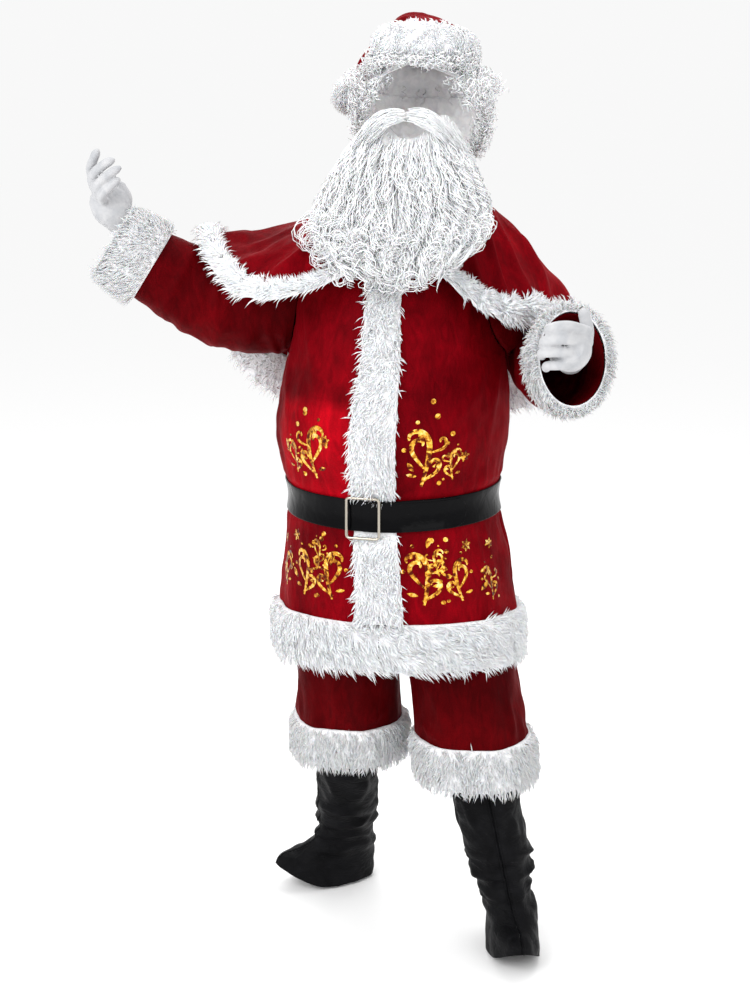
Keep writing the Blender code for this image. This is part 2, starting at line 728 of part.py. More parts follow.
# One row for each radial line of the capelet, by its turn round the neck from the centre front.
# Over is where the line crosses the shoulder and edge is where it ends.
CAPE = Table(
    "turn over_x over_y over_z edge_x edge_y edge_z",
    (-360, 0.030, -0.155, 1.425, 0.012, -0.185, 1.392),
    (-335, -0.063, -0.189, 1.383, -0.092, -0.224, 1.344),
    (-310, -0.105, -0.186, 1.393, -0.176, -0.249, 1.320),
    (-290, -0.164, -0.161, 1.400, -0.247, -0.231, 1.328),
    (-275, -0.212, -0.108, 1.398, -0.300, -0.172, 1.364),
    (-262, -0.238, -0.052, 1.410, -0.336, -0.098, 1.394),
    (-250, -0.249, 0.007, 1.410, -0.360, -0.020, 1.398),
    (-238, -0.238, 0.070, 1.402, -0.388, 0.052, 1.300),
    (-215, -0.183, 0.125, 1.414, -0.310, 0.128, 1.127),
    (-180, -0.066, 0.171, 1.413, -0.088, 0.223, 1.036),
    (-145, 0.057, 0.172, 1.414, 0.130, 0.231, 1.045),
    (-122, 0.176, 0.142, 1.412, 0.280, 0.165, 1.108),
    (-110, 0.208, 0.094, 1.412, 0.332, 0.106, 1.196),
    (-98, 0.212, 0.037, 1.412, 0.322, 0.012, 1.256),
    (-85, 0.200, -0.030, 1.408, 0.282, -0.088, 1.276),
    (-70, 0.178, -0.084, 1.410, 0.234, -0.142, 1.276),
    (-50, 0.130, -0.129, 1.407, 0.169, -0.173, 1.306),
    (-25, 0.076, -0.159, 1.396, 0.108, -0.189, 1.357),
    (0, 0.046, -0.158, 1.425, 0.052, -0.185, 1.392),
)
CAPE_TURNS = tuple(np.concatenate([
    np.linspace(-360, -240, 15),
    np.linspace(-229, -131, 10),
    np.linspace(-121, 0, 23),
]))
CAPE_ROWS = (0.0, 0.2, 0.425, 0.65, 0.85)
TRIM_WIDTH = 0.042
TRIM_ROWS = 3
# Folds that run out from the neck: turn, width in degrees and height
CAPE_FOLDS = (
    (-300, 6, 0.006),
    (-281, 5, 0.007),
    (-256, 5, 0.008),
    (-222, 9, 0.010),
    (-197, 9, 0.010),
    (-168, 9, 0.010),
    (-141, 9, 0.010),
    (-108, 3.6, 0.007),
    (-95, 3.4, 0.008),
    (-82, 3.4, 0.008),
    (-69, 3.4, 0.008),
    (-56, 3.4, 0.007),
    (-43, 3.6, 0.006),
)


def cape_surface(turn, share):
    """The capelet's outer face. The share runs from 0 at the neck to 1 at the edge."""
    turn, share = np.broadcast_arrays(np.asarray(turn, float), np.asarray(share, float))
    neck = layer(jacket_surface, -turn, np.full(turn.shape, CAPE_NECK_HEIGHT), LOOSE_GAP + CLOTH)
    over = CAPE.points("over_x over_y over_z", turn)
    edge = CAPE.points("edge_x edge_y edge_z", turn)
    low = share[..., None]
    first = neck + (over - neck) * (low / 0.4)
    second = over + (edge - over) * ((low - 0.4) / 0.6)
    bend = ease(0.15, 0.65, share)[..., None]
    return first * (1 - bend) + second * bend


def cape_shares(turns):
    """Rows of the capelet for each turn. The last ones span a trim of one width all round."""
    over = CAPE.points("over_x over_y over_z", turns)
    edge = CAPE.points("edge_x edge_y edge_z", turns)
    start = 1 - 0.6 * TRIM_WIDTH / np.linalg.norm(edge - over, axis=-1)
    plain = [row * start for row in CAPE_ROWS]
    return np.stack([*plain, *(start + (1 - start) * step for step in np.linspace(0, 1, TRIM_ROWS))])


def cape_folds(turn, share):
    depth = sum(high * bump(turn, at, wide) for at, wide, high in CAPE_FOLDS)
    return depth * ease(0.12, 0.55, share)


def evened(grid):
    """A grid of moves with each one shared out among its neighbours."""
    wide = np.pad(grid, ((1, 1), (1, 1), (0, 0)), mode="edge")
    beside = wide[1:-1, :-2] + wide[1:-1, 2:] + wide[:-2, 1:-1] + wide[2:, 1:-1]
    return 0.5 * grid + 0.125 * beside


CAPE_CLEARANCE = 0.0090


def laid_over(sheet, tree, distance):
    """A sheet laid over the pieces below it, so that neither its corners nor its faces' middles cut them."""
    laid = sheet.copy()
    for _ in range(8):
        laid[1:] = clear_of(laid[1:], tree, distance)
        laid = sheet + evened(laid - sheet)
        middle = 0.25 * (laid[:-1, :-1] + laid[1:, :-1] + laid[:-1, 1:] + laid[1:, 1:])
        push = clear_of(middle, tree, distance) - middle
        for corner in (laid[:-1, :-1], laid[1:, :-1], laid[:-1, 1:], laid[1:, 1:]):
            corner += 0.5 * push
    laid[0] = sheet[0]
    return laid


def cape(suit, under):
    along = cape_shares(np.array(CAPE_TURNS))
    across = np.broadcast_to(CAPE_TURNS, along.shape)
    base = layer(cape_surface, across, along, 0.0)
    base = laid_over(base, tree_of(under), CAPE_CLEARANCE)
    raised = base + grid_normals(base) * cape_folds(across, along)[..., None]
    outward = grid_normals(raised)
    inner = raised - outward * CLOTH
    suit.wall("capelet", raised, inner, "red_velvet")
    first = len(CAPE_ROWS)
    beyond = raised[-1] + unit(raised[-1] - raised[-2]) * 0.012
    grid = np.concatenate([raised[first:], beyond[None]])
    normals = np.concatenate([outward[first:], outward[-1:]])
    lift = GAP + FUR_DEPTH * 1.1 * rounded(np.linspace(0, 1, len(grid)), 0.4)[:, None, None]
    suit.wall("capelet_trim_plush", grid + normals * lift, grid + normals * GAP, "white_plush")


# Head wear: everything there follows one tilted line through the head

HEAD_BASE = np.array([0.046, 0.012, 1.716])
HEAD_AXIS = unit(np.array([0.03, 0.12, 0.98]))
HEAD_RIGHT = unit(np.cross(HEAD_AXIS, np.array([0.0, -1.0, 0.0])))
HEAD_BACK = np.cross(HEAD_AXIS, HEAD_RIGHT)
HEAD_TURNS = np.arange(20) * 18.0

WIG = Table(
    "level half_width front back wall",
    (-0.160, 0.096, 0.086, 0.098, 0.020),
    (-0.135, 0.114, 0.094, 0.112, 0.030),
    (-0.100, 0.124, 0.098, 0.122, 0.036),
    (-0.060, 0.126, 0.102, 0.126, 0.038),
    (-0.028, 0.118, 0.104, 0.120, 0.034),
    (-0.008, 0.0800, 0.0800, 0.0800, 0.008),
    (0.020, 0.0795, 0.0795, 0.0795, 0.006),
)
WIG_LEVELS = (-0.158, -0.138, -0.112, -0.084, -0.056, -0.030, -0.010, 0.018)


def head_surface(table):
    def surface(turn, level):
        angle = np.radians(turn)
        depth = np.where(np.cos(angle) > 0, table.read("front", level), table.read("back", level))
        aside = table.read("half_width", level) * np.sin(angle)
        back = -depth * np.cos(angle)
        return (
            HEAD_BASE
            + HEAD_RIGHT * aside[..., None]
            + HEAD_BACK * back[..., None]
            + HEAD_AXIS * np.asarray(level, float)[..., None]
        )

    return surface


def curls(turn, level, depth):
    """Tufts of curls, as bumps set like bricks."""
    wave = np.sin(np.radians(turn * 9)) * np.sin(level * 95)
    wave = wave + 0.5 * np.sin(np.radians(turn * 15) + level * 60)
    return depth * wave * ease(0.0, -0.03, level)


def wig(suit):
    """The curly wig: a ring of curls from under the hat, open round the face."""
    surface = head_surface(WIG)
    rows = []
    for level in WIG_LEVELS:
        opening = 0.4 + (FACE_TURN - 0.4) * float(ease(-0.018, -0.036, level))
        opening += (CHEEK_TURN - FACE_TURN) * float(ease(-0.050, -0.100, level))
        rows.append(np.linspace(opening, 360 - opening, 29))
    across = np.stack(rows)
    along = np.repeat(np.array(WIG_LEVELS)[:, None], across.shape[1], axis=1)
    thin = WIG.read("wall", along)
    outer = layer(surface, across, along, curls(across, along, 0.006))
    suit.wall("wig", outer, layer(surface, across, along, -thin), "white_hair")


# The crown's sections: each one's middle, the way it faces and its half height and half width
HAT = Table(
    "station x y z facing_x facing_y facing_z half_height half_width",
    (0.00, 0.000, 0.000, 0.004, 0.00, 0.00, 1.00, 0.0858, 0.0858),
    (0.12, 0.000, 0.000, 0.026, 0.00, 0.07, 1.00, 0.0856, 0.0856),
    (0.24, 0.000, 0.003, 0.048, -0.02, 0.17, 1.00, 0.0800, 0.0800),
    (0.32, -0.006, 0.012, 0.059, -0.08, 0.20, 1.00, 0.0670, 0.0670),
    (0.42, -0.024, 0.034, 0.069, -0.33, 0.32, 0.88, 0.0430, 0.0430),
    (0.54, -0.051, 0.075, 0.071, -0.62, 0.74, 0.12, 0.0270, 0.0240),
    (0.70, -0.090, 0.108, 0.050, -0.75, 0.35, -0.60, 0.0240, 0.0180),
    (0.85, -0.122, 0.108, 0.012, -0.50, -0.25, -0.82, 0.0180, 0.0160),
    (1.00, -0.139, 0.086, -0.024, -0.35, -0.45, -0.82, 0.0110, 0.0110),
)
HAT_STATIONS = (0.0, 0.08, 0.16, 0.24, 0.32, 0.40, 0.48, 0.57, 0.68, 0.79, 0.90, 1.0)
BRIM_STATIONS = (0.0, 0.08, 0.16, 0.24)


def hat_surface(turn, station):
    """The hat's crown. The turn is in degrees from the front towards the wearer's left."""
    centre = HAT.points("x y z", station)
    facing = unit(HAT.points("facing_x facing_y facing_z", station))
    front = np.array([0.0, -1.0, 0.0])
    top = unit(front - facing * (facing @ front)[..., None])
    side = np.cross(facing, top)
    angle = np.radians(turn)
    crease = 1 + 0.05 * np.sin(angle * 3 + np.asarray(station, float) * 14) * ease(0.3, 0.5, station)
    height = HAT.read("half_height", station) * np.cos(angle) * crease
    width = HAT.read("half_width", station) * np.sin(angle) * crease
    local = centre + top * height[..., None] + side * width[..., None]
    return HEAD_BASE + local[..., :1] * HEAD_RIGHT + local[..., 1:2] * HEAD_BACK + local[..., 2:] * HEAD_AXIS


def hat(suit):
    surface = hat_surface
    across, along = np.meshgrid(HEAD_TURNS, HAT_STATIONS)
    outer = layer(surface, across, along)
    inner = layer(surface, across, along, -CLOTH)
    suit.wall("hat_crown", outer, inner, "red_velvet", ring=True)
    across, along = np.meshgrid(HEAD_TURNS, BRIM_STATIONS)
    inner = layer(surface, across, along, GAP)
    share = (along - BRIM_STATIONS[0]) / (BRIM_STATIONS[-1] - BRIM_STATIONS[0])
    outer = layer(surface, across, along, GAP + FUR_DEPTH * rounded(share, 0.45))
    suit.wall("hat_brim_plush", outer, inner, "white_plush", ring=True)
    tip = surface(np.array([0.0, 180.0]), np.array([1.0, 1.0])).mean(axis=0)
    before = surface(np.array([0.0, 180.0]), np.array([0.93, 0.93])).mean(axis=0)
    centre = tip + unit(tip - before) * (POMPOM_RADIUS - GAP)
    ball = bmesh.new()
    bmesh.ops.create_uvsphere(ball, u_segments=14, v_segments=8, radius=POMPOM_RADIUS)
    bmesh.ops.translate(ball, verts=ball.verts, vec=Vector(centre))
    mesh = bpy.data.meshes.new("hat_pompom")
    ball.to_mesh(mesh)
    ball.free()
    suit.add("hat_pompom", mesh, "white_plush")


# Beard and moustache

BEARD = Table(
    "level x half_width back thickness side_back",
    (0.00, 0.036, 0.076, -0.090, 0.022, -0.040),
    (0.20, 0.034, 0.108, -0.102, 0.044, -0.050),
    (0.45, 0.036, 0.138, -0.134, 0.060, -0.076),
    (0.70, 0.038, 0.160, -0.186, 0.052, -0.122),
    (0.88, 0.036, 0.136, -0.226, 0.036, -0.178),
    (1.00, 0.034, 0.098, -0.239, 0.020, -0.212),
)
BEARD_LEVELS = (0.0, 0.09, 0.20, 0.32, 0.45, 0.58, 0.70, 0.80, 0.90, 1.0)
BEARD_COLUMNS = 24
BEARD_TOP_SIDE = 1.662
BEARD_TOP_MIDDLE = 1.588
BEARD_FOOT = 1.352
BEARD_FOOT_SIDE = 1.420


def beard_point(share, level, depth_share):
    """A point in the beard.

    The share runs from -1 at the wearer's right to 1 at the left, the depth from back to front.
    """
    spread = np.abs(share)
    top = BEARD_TOP_MIDDLE + (BEARD_TOP_SIDE - BEARD_TOP_MIDDLE) * ease(0.2, 1.0, spread)
    foot = BEARD_FOOT + (BEARD_FOOT_SIDE - BEARD_FOOT) * spread**2
    height = top + (foot - top) * level
    lock = 0.006 * np.sin(share * 40 + 3 * np.sin(level * 9)) * ease(0.0, 0.2, level)
    tip = 0.012 * np.sin(share * 31 + 1.0) * ease(0.75, 1.0, level)
    x = BEARD.read("x", level) + BEARD.read("half_width", level) * np.sin(share * math.pi / 2 * 0.98)
    back = BEARD.read("back", level)
    y = back + (BEARD.read("side_back", level) - back) * spread**2.2
    thick = BEARD.read("thickness", level) * (0.35 + 0.65 * np.sqrt(np.clip(1 - spread**2, 0, 1)))
    y = y - depth_share * (thick + lock)
    return np.stack([x + depth_share * 0.25 * thick * np.sign(share) * spread**3, y, height + tip], axis=-1)


def beard(suit):
    shares = np.linspace(-1, 1, BEARD_COLUMNS + 1)
    share, level = np.meshgrid(shares, BEARD_LEVELS)
    suit.wall("beard", beard_point(share, level, 1.0), beard_point(share, level, 0.0), "white_hair")


MOUSTACHE = Table(
    "station x y z half_height half_width",
    (-1.0, -0.050, -0.1195, 1.590, 0.006, 0.005),
    (-0.7, -0.026, -0.1295, 1.612, 0.013, 0.009),
    (-0.35, 0.004, -0.1335, 1.630, 0.016, 0.010),
    (0.0, 0.036, -0.1335, 1.634, 0.011, 0.009),
    (0.35, 0.068, -0.1335, 1.630, 0.016, 0.010),
    (0.7, 0.098, -0.1295, 1.612, 0.013, 0.009),
    (1.0, 0.122, -0.1195, 1.590, 0.006, 0.005),
)


def moustache(suit):
    """Two tufts that meet under the nose and sweep down over the beard."""
    surface = limb(MOUSTACHE, (0, 0, 1))
    stations = np.linspace(-1, 1, 15)
    turns = np.arange(8) * 45.0
    across, along = np.meshgrid(turns, stations)
    skin = surface(across, along)
    mesh = bpy.data.meshes.new("moustache")
    rows, columns = across.shape
    faces = [
        (
            r * columns + c,
            r * columns + (c + 1) % columns,
            (r + 1) * columns + (c + 1) % columns,
            (r + 1) * columns + c,
        )
        for r in range(rows - 1)
        for c in range(columns)
    ]
    faces.append(tuple(range(columns)))
    faces.append(tuple(range((rows - 1) * columns, rows * columns)))
    mesh.from_pydata(skin.reshape(-1, 3).tolist(), [], faces)
    tidy = bmesh.new()
    tidy.from_mesh(mesh)
    bmesh.ops.triangulate(tidy, faces=tidy.faces)
    bmesh.ops.recalc_face_normals(tidy, faces=tidy.faces)
    tidy.to_mesh(mesh)
    tidy.free()
    suit.add("moustache", mesh, "white_hair")


RIGHT_DIGITS = {
    "index": (
        (-0.548, -0.097, 1.490),
        (-0.554, -0.110, 1.529),
        (-0.544, -0.118, 1.552),
        (-0.533, -0.125, 1.568),
    ),
    "middle": ((-0.541, -0.106, 1.483), (-0.546, -0.127, 1.516), (-0.520, -0.137, 1.540), (-0.499, -0.134, 1.551)),
    "ring": ((-0.536, -0.105, 1.476), (-0.534, -0.135, 1.501), (-0.507, -0.145, 1.524), (-0.485, -0.141, 1.537)),
    "little": ((-0.529, -0.103, 1.469), (-0.526, -0.133, 1.486), (-0.504, -0.140, 1.505), (-0.489, -0.137, 1.517)),
    "thumb": ((-0.503, -0.079, 1.449), (-0.498, -0.076, 1.477), (-0.508, -0.071, 1.495), (-0.516, -0.069, 1.507)),
}
LEFT_DIGITS = {
    "index": ((0.375, -0.360, 1.283), (0.344, -0.396, 1.296), (0.315, -0.396, 1.291), (0.313, -0.366, 1.277)),
    "middle": ((0.378, -0.360, 1.266), (0.340, -0.402, 1.276), (0.308, -0.398, 1.271), (0.306, -0.368, 1.257)),
    "ring": ((0.376, -0.360, 1.248), (0.337, -0.398, 1.254), (0.304, -0.393, 1.251), (0.302, -0.363, 1.239)),
    "little": ((0.363, -0.362, 1.232), (0.336, -0.393, 1.232), (0.311, -0.387, 1.229), (0.309, -0.362, 1.219)),
    "thumb": ((0.370, -0.311, 1.255), (0.372, -0.315, 1.280), (0.367, -0.321, 1.301), (0.363, -0.322, 1.317)),
}
RIGHT_PALM = Table(
    "station x y z half_height half_width",
    (0.00, -0.476, -0.090, 1.368, 0.025, 0.024),
    (0.20, -0.492, -0.087, 1.405, 0.019, 0.017),
    (0.40, -0.507, -0.090, 1.435, 0.027, 0.020),
    (0.60, -0.522, -0.092, 1.459, 0.036, 0.021),
    (0.80, -0.536, -0.094, 1.481, 0.032, 0.019),
    (1.00, -0.544, -0.096, 1.494, 0.020, 0.012),
)
LEFT_PALM = Table(
    "station x y z half_height half_width",
    (0.00, 0.340, -0.235, 1.218, 0.027, 0.026),
    (0.20, 0.344, -0.264, 1.229, 0.025, 0.024),
    (0.40, 0.345, -0.305, 1.240, 0.032, 0.030),
    (0.60, 0.345, -0.345, 1.250, 0.036, 0.036),
    (0.80, 0.347, -0.375, 1.258, 0.034, 0.034),
    (1.00, 0.348, -0.391, 1.262, 0.022, 0.022),
)


def closed_loft(rings):
    """A closed mesh through rings of points, with its first and last rings capped."""
    rows, columns = rings.shape[:2]
    faces = [
        (
            r * columns + c,
            r * columns + (c + 1) % columns,
            (r + 1) * columns + (c + 1) % columns,
            (r + 1) * columns + c,
        )
        for r in range(rows - 1)
        for c in range(columns)
    ]
    faces.append(tuple(range(columns)))
    faces.append(tuple(range((rows - 1) * columns, rows * columns)))
    mesh = bpy.data.meshes.new("loft")
    mesh.from_pydata(rings.reshape(-1, 3).tolist(), [], faces)
    tidy = bmesh.new()
    tidy.from_mesh(mesh)
    bmesh.ops.triangulate(tidy, faces=tidy.faces)
    bmesh.ops.recalc_face_normals(tidy, faces=tidy.faces)
    tidy.to_mesh(mesh)
    tidy.free()
    return mesh


def boolean(suit, mesh, other, operation):
    """The mesh that is left when two closed meshes are united or one is cut from the other."""
    base = bpy.data.objects.new("base", mesh)
    tool = bpy.data.objects.new("tool", other)
    suit.collection.objects.link(base)
    suit.collection.objects.link(tool)
    step = base.modifiers.new("step", "BOOLEAN")
    step.operation = operation
    step.solver = "EXACT"
    step.object = tool
    graph = bpy.context.evaluated_depsgraph_get()
    made = bpy.data.meshes.new_from_object(base.evaluated_get(graph))
    bpy.data.objects.remove(base)
    bpy.data.objects.remove(tool)
    return made


# A digit's radius at its four joints, as shares of its own radius
DIGIT_RADII = {"index": 0.0102, "middle": 0.0105, "ring": 0.0100, "little": 0.0092, "thumb": 0.0118}
DIGIT_STATIONS = (0.0, 0.33, 0.66, 0.90, 1.0)
DIGIT_TAPER = (1.05, 1.02, 0.96, 0.80, 0.38)
PALM_STATIONS = (0.0, 0.2, 0.4, 0.6, 0.8, 1.0)


def glove_shape(suit, palm, digits, shrink, start):
    """The outside of a gloved hand, or its inside when every radius shrinks by the cloth's thickness."""
    stations = np.array(PALM_STATIONS)
    turns = np.arange(8) * 45.0
    across, along = np.meshgrid(turns, stations)
    surface = limb(palm, PALM_UP)
    rings = surface(across, along)
    centre = palm.points("x y z", along)
    rings = rings - unit(rings - centre) * shrink
    rings[0] += (rings[0] - rings[1]) * start
    rings[-1] -= (rings[-1] - rings[-2]) * shrink * 20
    made = closed_loft(rings)
    for name, joints in digits.items():
        keys = np.linspace(0, 1, len(joints))
        radii = DIGIT_RADII[name] * np.array(DIGIT_TAPER)
        line = smooth_curve(keys, np.array(joints), np.array(DIGIT_STATIONS))
        tube = Table("station x y z half_height half_width", *np.column_stack([DIGIT_STATIONS, line, radii, radii]))
        sides = 6 if shrink == 0 else 5
        across, along = np.meshgrid(np.arange(sides) * 360 / sides, np.array(DIGIT_STATIONS))
        skin = limb(tube, DIGIT_UP)(across, along)
        middle = tube.points("x y z", along)
        skin = middle + (skin - middle) * (1 - shrink / np.linalg.norm(skin - middle, axis=-1, keepdims=True))
        skin[-1] -= (line[-1] - line[-2]) / np.linalg.norm(line[-1] - line[-2]) * shrink
        made = boolean(suit, made, closed_loft(skin), "UNION")
    return made


PALM_UP = (0.55, 0.15, 0.80)
DIGIT_UP = (0.2, 0.9, 0.35)


def glove(suit, name, palm, digits):
    """A hollow glove, open at the wrist inside the sleeve."""
    outside = glove_shape(suit, palm, digits, 0.0, 0.0)
    inside = glove_shape(suit, palm, digits, THIN_CLOTH, 0.3)
    suit.add(f"glove_{name}", boolean(suit, outside, inside, "DIFFERENCE"), "white_knit")


def main():
    for item in list(bpy.data.objects):
        bpy.data.objects.remove(item)
    suit = Suit()
    jacket(suit)
    jacket_hem(suit)
    placket(suit)
    belt(suit)
    buckle(suit)
    named = bpy.data.objects
    body = [named[name] for name in ("jacket_front_left", "jacket_front_right", "jacket_back")]
    sleeve(suit, "right", RIGHT_SLEEVE, RIGHT_SLEEVE_FOLDS, -1, body)
    sleeve(suit, "left", LEFT_SLEEVE, LEFT_SLEEVE_FOLDS, 1, body)
    breeches(suit)
    boot_covers(suit)
    over = ("sleeve_left", "sleeve_right", "cuff_plush_left", "cuff_plush_right", "placket_plush")
    cape(suit, body + [named[name] for name in over])
    wig(suit)
    hat(suit)
    beard(suit)
    moustache(suit)
    glove(suit, "right", RIGHT_PALM, RIGHT_DIGITS)
    glove(suit, "left", LEFT_PALM, LEFT_DIGITS)


main()
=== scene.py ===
# %% [markdown]
# # A worn Santa suit, with nobody inside
#
# The suit is nine things to put on: a plush hat, a curly wig, a beard with its moustache, a
# capelet, a jacket with a plush strip down the front, a wide belt, stretch gloves, knee breeches
# and a pair of boot covers. The construction model already holds all of them at their real size.
# This lesson dresses it: each cloth becomes a thin shell with its own creases and nap, and each
# fur trim gets real pile.
#
# The first cell loads the construction model, so that every piece can be put exactly where the
# model has it.

# %% Load the construction model
import json
import math

import bmesh
import bpy
import numpy as np
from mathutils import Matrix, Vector
from mathutils.bvhtree import BVHTree

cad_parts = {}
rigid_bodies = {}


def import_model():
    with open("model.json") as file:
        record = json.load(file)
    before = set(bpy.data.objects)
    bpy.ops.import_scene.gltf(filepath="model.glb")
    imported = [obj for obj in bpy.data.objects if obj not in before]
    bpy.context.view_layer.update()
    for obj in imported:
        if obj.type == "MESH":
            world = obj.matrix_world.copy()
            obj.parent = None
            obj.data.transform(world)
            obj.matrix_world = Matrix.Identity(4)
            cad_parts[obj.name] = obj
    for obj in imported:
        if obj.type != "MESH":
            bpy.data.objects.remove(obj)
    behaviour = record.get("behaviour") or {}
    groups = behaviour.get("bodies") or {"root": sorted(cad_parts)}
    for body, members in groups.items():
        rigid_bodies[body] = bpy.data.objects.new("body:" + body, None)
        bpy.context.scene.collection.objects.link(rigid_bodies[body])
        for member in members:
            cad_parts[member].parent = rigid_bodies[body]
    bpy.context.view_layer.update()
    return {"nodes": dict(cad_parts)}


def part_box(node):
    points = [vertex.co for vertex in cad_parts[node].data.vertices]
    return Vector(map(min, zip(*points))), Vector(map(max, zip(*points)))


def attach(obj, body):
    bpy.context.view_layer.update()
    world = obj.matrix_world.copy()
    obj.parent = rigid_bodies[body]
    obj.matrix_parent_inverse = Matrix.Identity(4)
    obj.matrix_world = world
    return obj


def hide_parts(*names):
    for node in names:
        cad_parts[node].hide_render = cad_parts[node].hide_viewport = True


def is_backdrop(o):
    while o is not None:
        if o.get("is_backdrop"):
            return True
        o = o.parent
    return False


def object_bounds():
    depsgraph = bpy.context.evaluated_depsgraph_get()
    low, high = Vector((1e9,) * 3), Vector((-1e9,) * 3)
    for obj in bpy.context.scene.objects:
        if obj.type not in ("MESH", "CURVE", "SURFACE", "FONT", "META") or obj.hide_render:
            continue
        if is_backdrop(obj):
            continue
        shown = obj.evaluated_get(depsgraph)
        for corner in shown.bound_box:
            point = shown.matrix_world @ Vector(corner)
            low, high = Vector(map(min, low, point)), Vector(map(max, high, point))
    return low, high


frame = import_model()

print("pieces in the model:", len(frame["nodes"]))

# %% [markdown]
# ## Sizes that the whole suit shares
#
# Heights are easiest to think of from the floor up, as a tailor takes them. The model's origin is
# between the shoulders, so everything is lowered by the shoulder height when it becomes a mesh.

# %% Shared sizes
SHOULDER_HEIGHT = 1.44
CLOTH = 0.0022
GAP = 0.0003
LOOSE_GAP = 0.0008
FUR_DEPTH = 0.016
BELT_THICKNESS = 0.0026
BUCKLE_WIRE = 0.0022
BUCKLE_WIDTH = 0.056
BUCKLE_HEIGHT = 0.074
BUCKLE_OFFSET = -0.018
EPSILON = 1e-4
print(f"cloth {CLOTH * 1000:.1f} mm, pile {FUR_DEPTH * 1000:.0f} mm")

# %% [markdown]
# ## Reading smooth shapes from short tables
#
# A garment's form can be written as a short table of sections, a row for each height or station.
# A smooth curve through the rows gives every size in between, so a dozen rows describe a whole
# torso. Numpy reads the curve at thousands of places at once, which keeps this fast.

# %% Curves and tables
def smooth_curve(keys, values, at):
    """Reads a smooth curve through values that are given at rising keys."""
    keys = np.asarray(keys, float)
    values = np.asarray(values, float)
    at = np.clip(np.asarray(at, float), keys[0], keys[-1])
    slopes = np.gradient(values, keys, axis=0)
    first = np.clip(np.searchsorted(keys, at, side="right") - 1, 0, len(keys) - 2)
    span = keys[first + 1] - keys[first]
    t = (at - keys[first]) / span
    if values.ndim > 1:
        t = t[..., None]
        span = span[..., None]
    start = values[first] * (2 * t**3 - 3 * t**2 + 1) + values[first + 1] * (3 * t**2 - 2 * t**3)
    return start + span * (slopes[first] * (t**3 - 2 * t**2 + t) + slopes[first + 1] * (t**3 - t**2))


def ease(low, high, at):
    """Rises smoothly from 0 at low to 1 at high."""
    t = np.clip((np.asarray(at, float) - low) / (high - low), 0, 1)
    return t * t * (3 - 2 * t)


def bump(at, centre, width):
    """A soft ridge, 1 high, that has faded away two widths from its centre."""
    return np.exp(-(((np.asarray(at, float) - centre) / width) ** 2))


def thousandths(text, whole=0):
    """Rows of numbers from lines of text in millimetres or thousandths. The first whole columns stay."""
    rows = np.array([line.split() for line in text.strip().splitlines()], float)
    rows[:, whole:] /= 1000
    return rows


class Table:
    """A short table of sections. Each column is a smooth curve along the first one."""

    def __init__(self, columns, rows):
        self.columns = columns.split()
        self.rows = rows
        self.keys = rows[:, 0]

    def read(self, column, at):
        return smooth_curve(self.keys, self.rows[:, self.columns.index(column)], at)

    def points(self, names, at):
        picked = self.rows[:, [self.columns.index(name) for name in names.split()]]
        return smooth_curve(self.keys, picked, at)


print("a smooth curve halfway between 0 and 1 reads", float(smooth_curve((0, 1), (0.0, 1.0), 0.5)))

# %% Surfaces and their normals
def as_grids(*values):
    """The values as arrays of one shape."""
    return np.broadcast_arrays(*(np.asarray(value, float) for value in values))


def ring_grid(columns, stations):
    """Turns all round, for each of the stations."""
    return np.meshgrid(np.linspace(0, 360, columns, endpoint=False), stations)


def unit(vectors):
    return vectors / np.maximum(np.linalg.norm(vectors, axis=-1, keepdims=True), 1e-12)


def layer(surface, across, along, lift=0.0):
    """Points of a surface moved out along its normals by lift, which may differ from point to point."""
    across, along = as_grids(across, along)
    step_across = 0.5
    step_along = EPSILON * 10
    side = surface(across + step_across, along) - surface(across - step_across, along)
    up = surface(across, along + step_along) - surface(across, along - step_along)
    normal = unit(np.cross(side, up))
    return surface(across, along) + normal * np.asarray(lift, float)[..., None]


LIMB_COLUMNS = "station x y z half_height half_width"


def outwards(surface, across, along, step=1.0):
    """The direction out of a surface at each point."""
    return unit(layer(surface, across, along, step) - surface(across, along))


def limb(table, reference):
    """The surface of a cloth tube round the smooth line of a table.

    The columns are station, x y z, half height and half width.

    The turn is in degrees from the ring's top, which points along the reference direction.
    """
    reference = np.asarray(reference, float)

    def surface(turn, station):
        turn = np.radians(turn)
        centre = table.points("x y z", station)
        ahead = table.points("x y z", np.clip(station + 0.02, table.keys[0], table.keys[-1]))
        behind = table.points("x y z", np.clip(station - 0.02, table.keys[0], table.keys[-1]))
        along = unit(ahead - behind)
        top = unit(reference - along * (along @ reference)[..., None])
        side = np.cross(along, top)
        height = table.read("half_height", station) * np.cos(turn)
        width = table.read("half_width", station) * np.sin(turn)
        return centre + top * height[..., None] + side * width[..., None]

    return surface


def grid_normals(grid, ring=False):
    """Normals of a grid of points. A ring's last column is followed by its first."""
    if ring:
        wide = np.concatenate([grid[:, -1:], grid, grid[:, :1]], axis=1)
        across = wide[:, 2:] - wide[:, :-2]
    else:
        across = np.gradient(grid, axis=1)
    return unit(np.cross(across, np.gradient(grid, axis=0)))


print("the columns of a limb:", LIMB_COLUMNS)

# %% [markdown]
# ## Folds, and unevenness that never repeats
#
# Cloth creases where it is pulled or pressed. Each fold here is placed one by one: it runs from one
# point to another, bows a little, and rises or sinks softly. Sine waves in many directions add the
# slight unevenness that stops a surface from looking machined.

# %% Folds and unevenness
def unevenness(points, size, seed, waves=14):
    """Soft noise of about -1 to 1 with features of about this size in metres."""
    rng = np.random.default_rng(seed)
    directions = unit(rng.normal(size=(waves, 3)))
    speeds = rng.uniform(0.6, 1.5, waves) * 2 * math.pi / size
    starts = rng.uniform(0, 2 * math.pi, waves)
    total = 0.0
    for direction, speed, start in zip(directions, speeds, starts):
        total = total + np.sin(points @ direction * speed + start)
    return total / math.sqrt(waves)


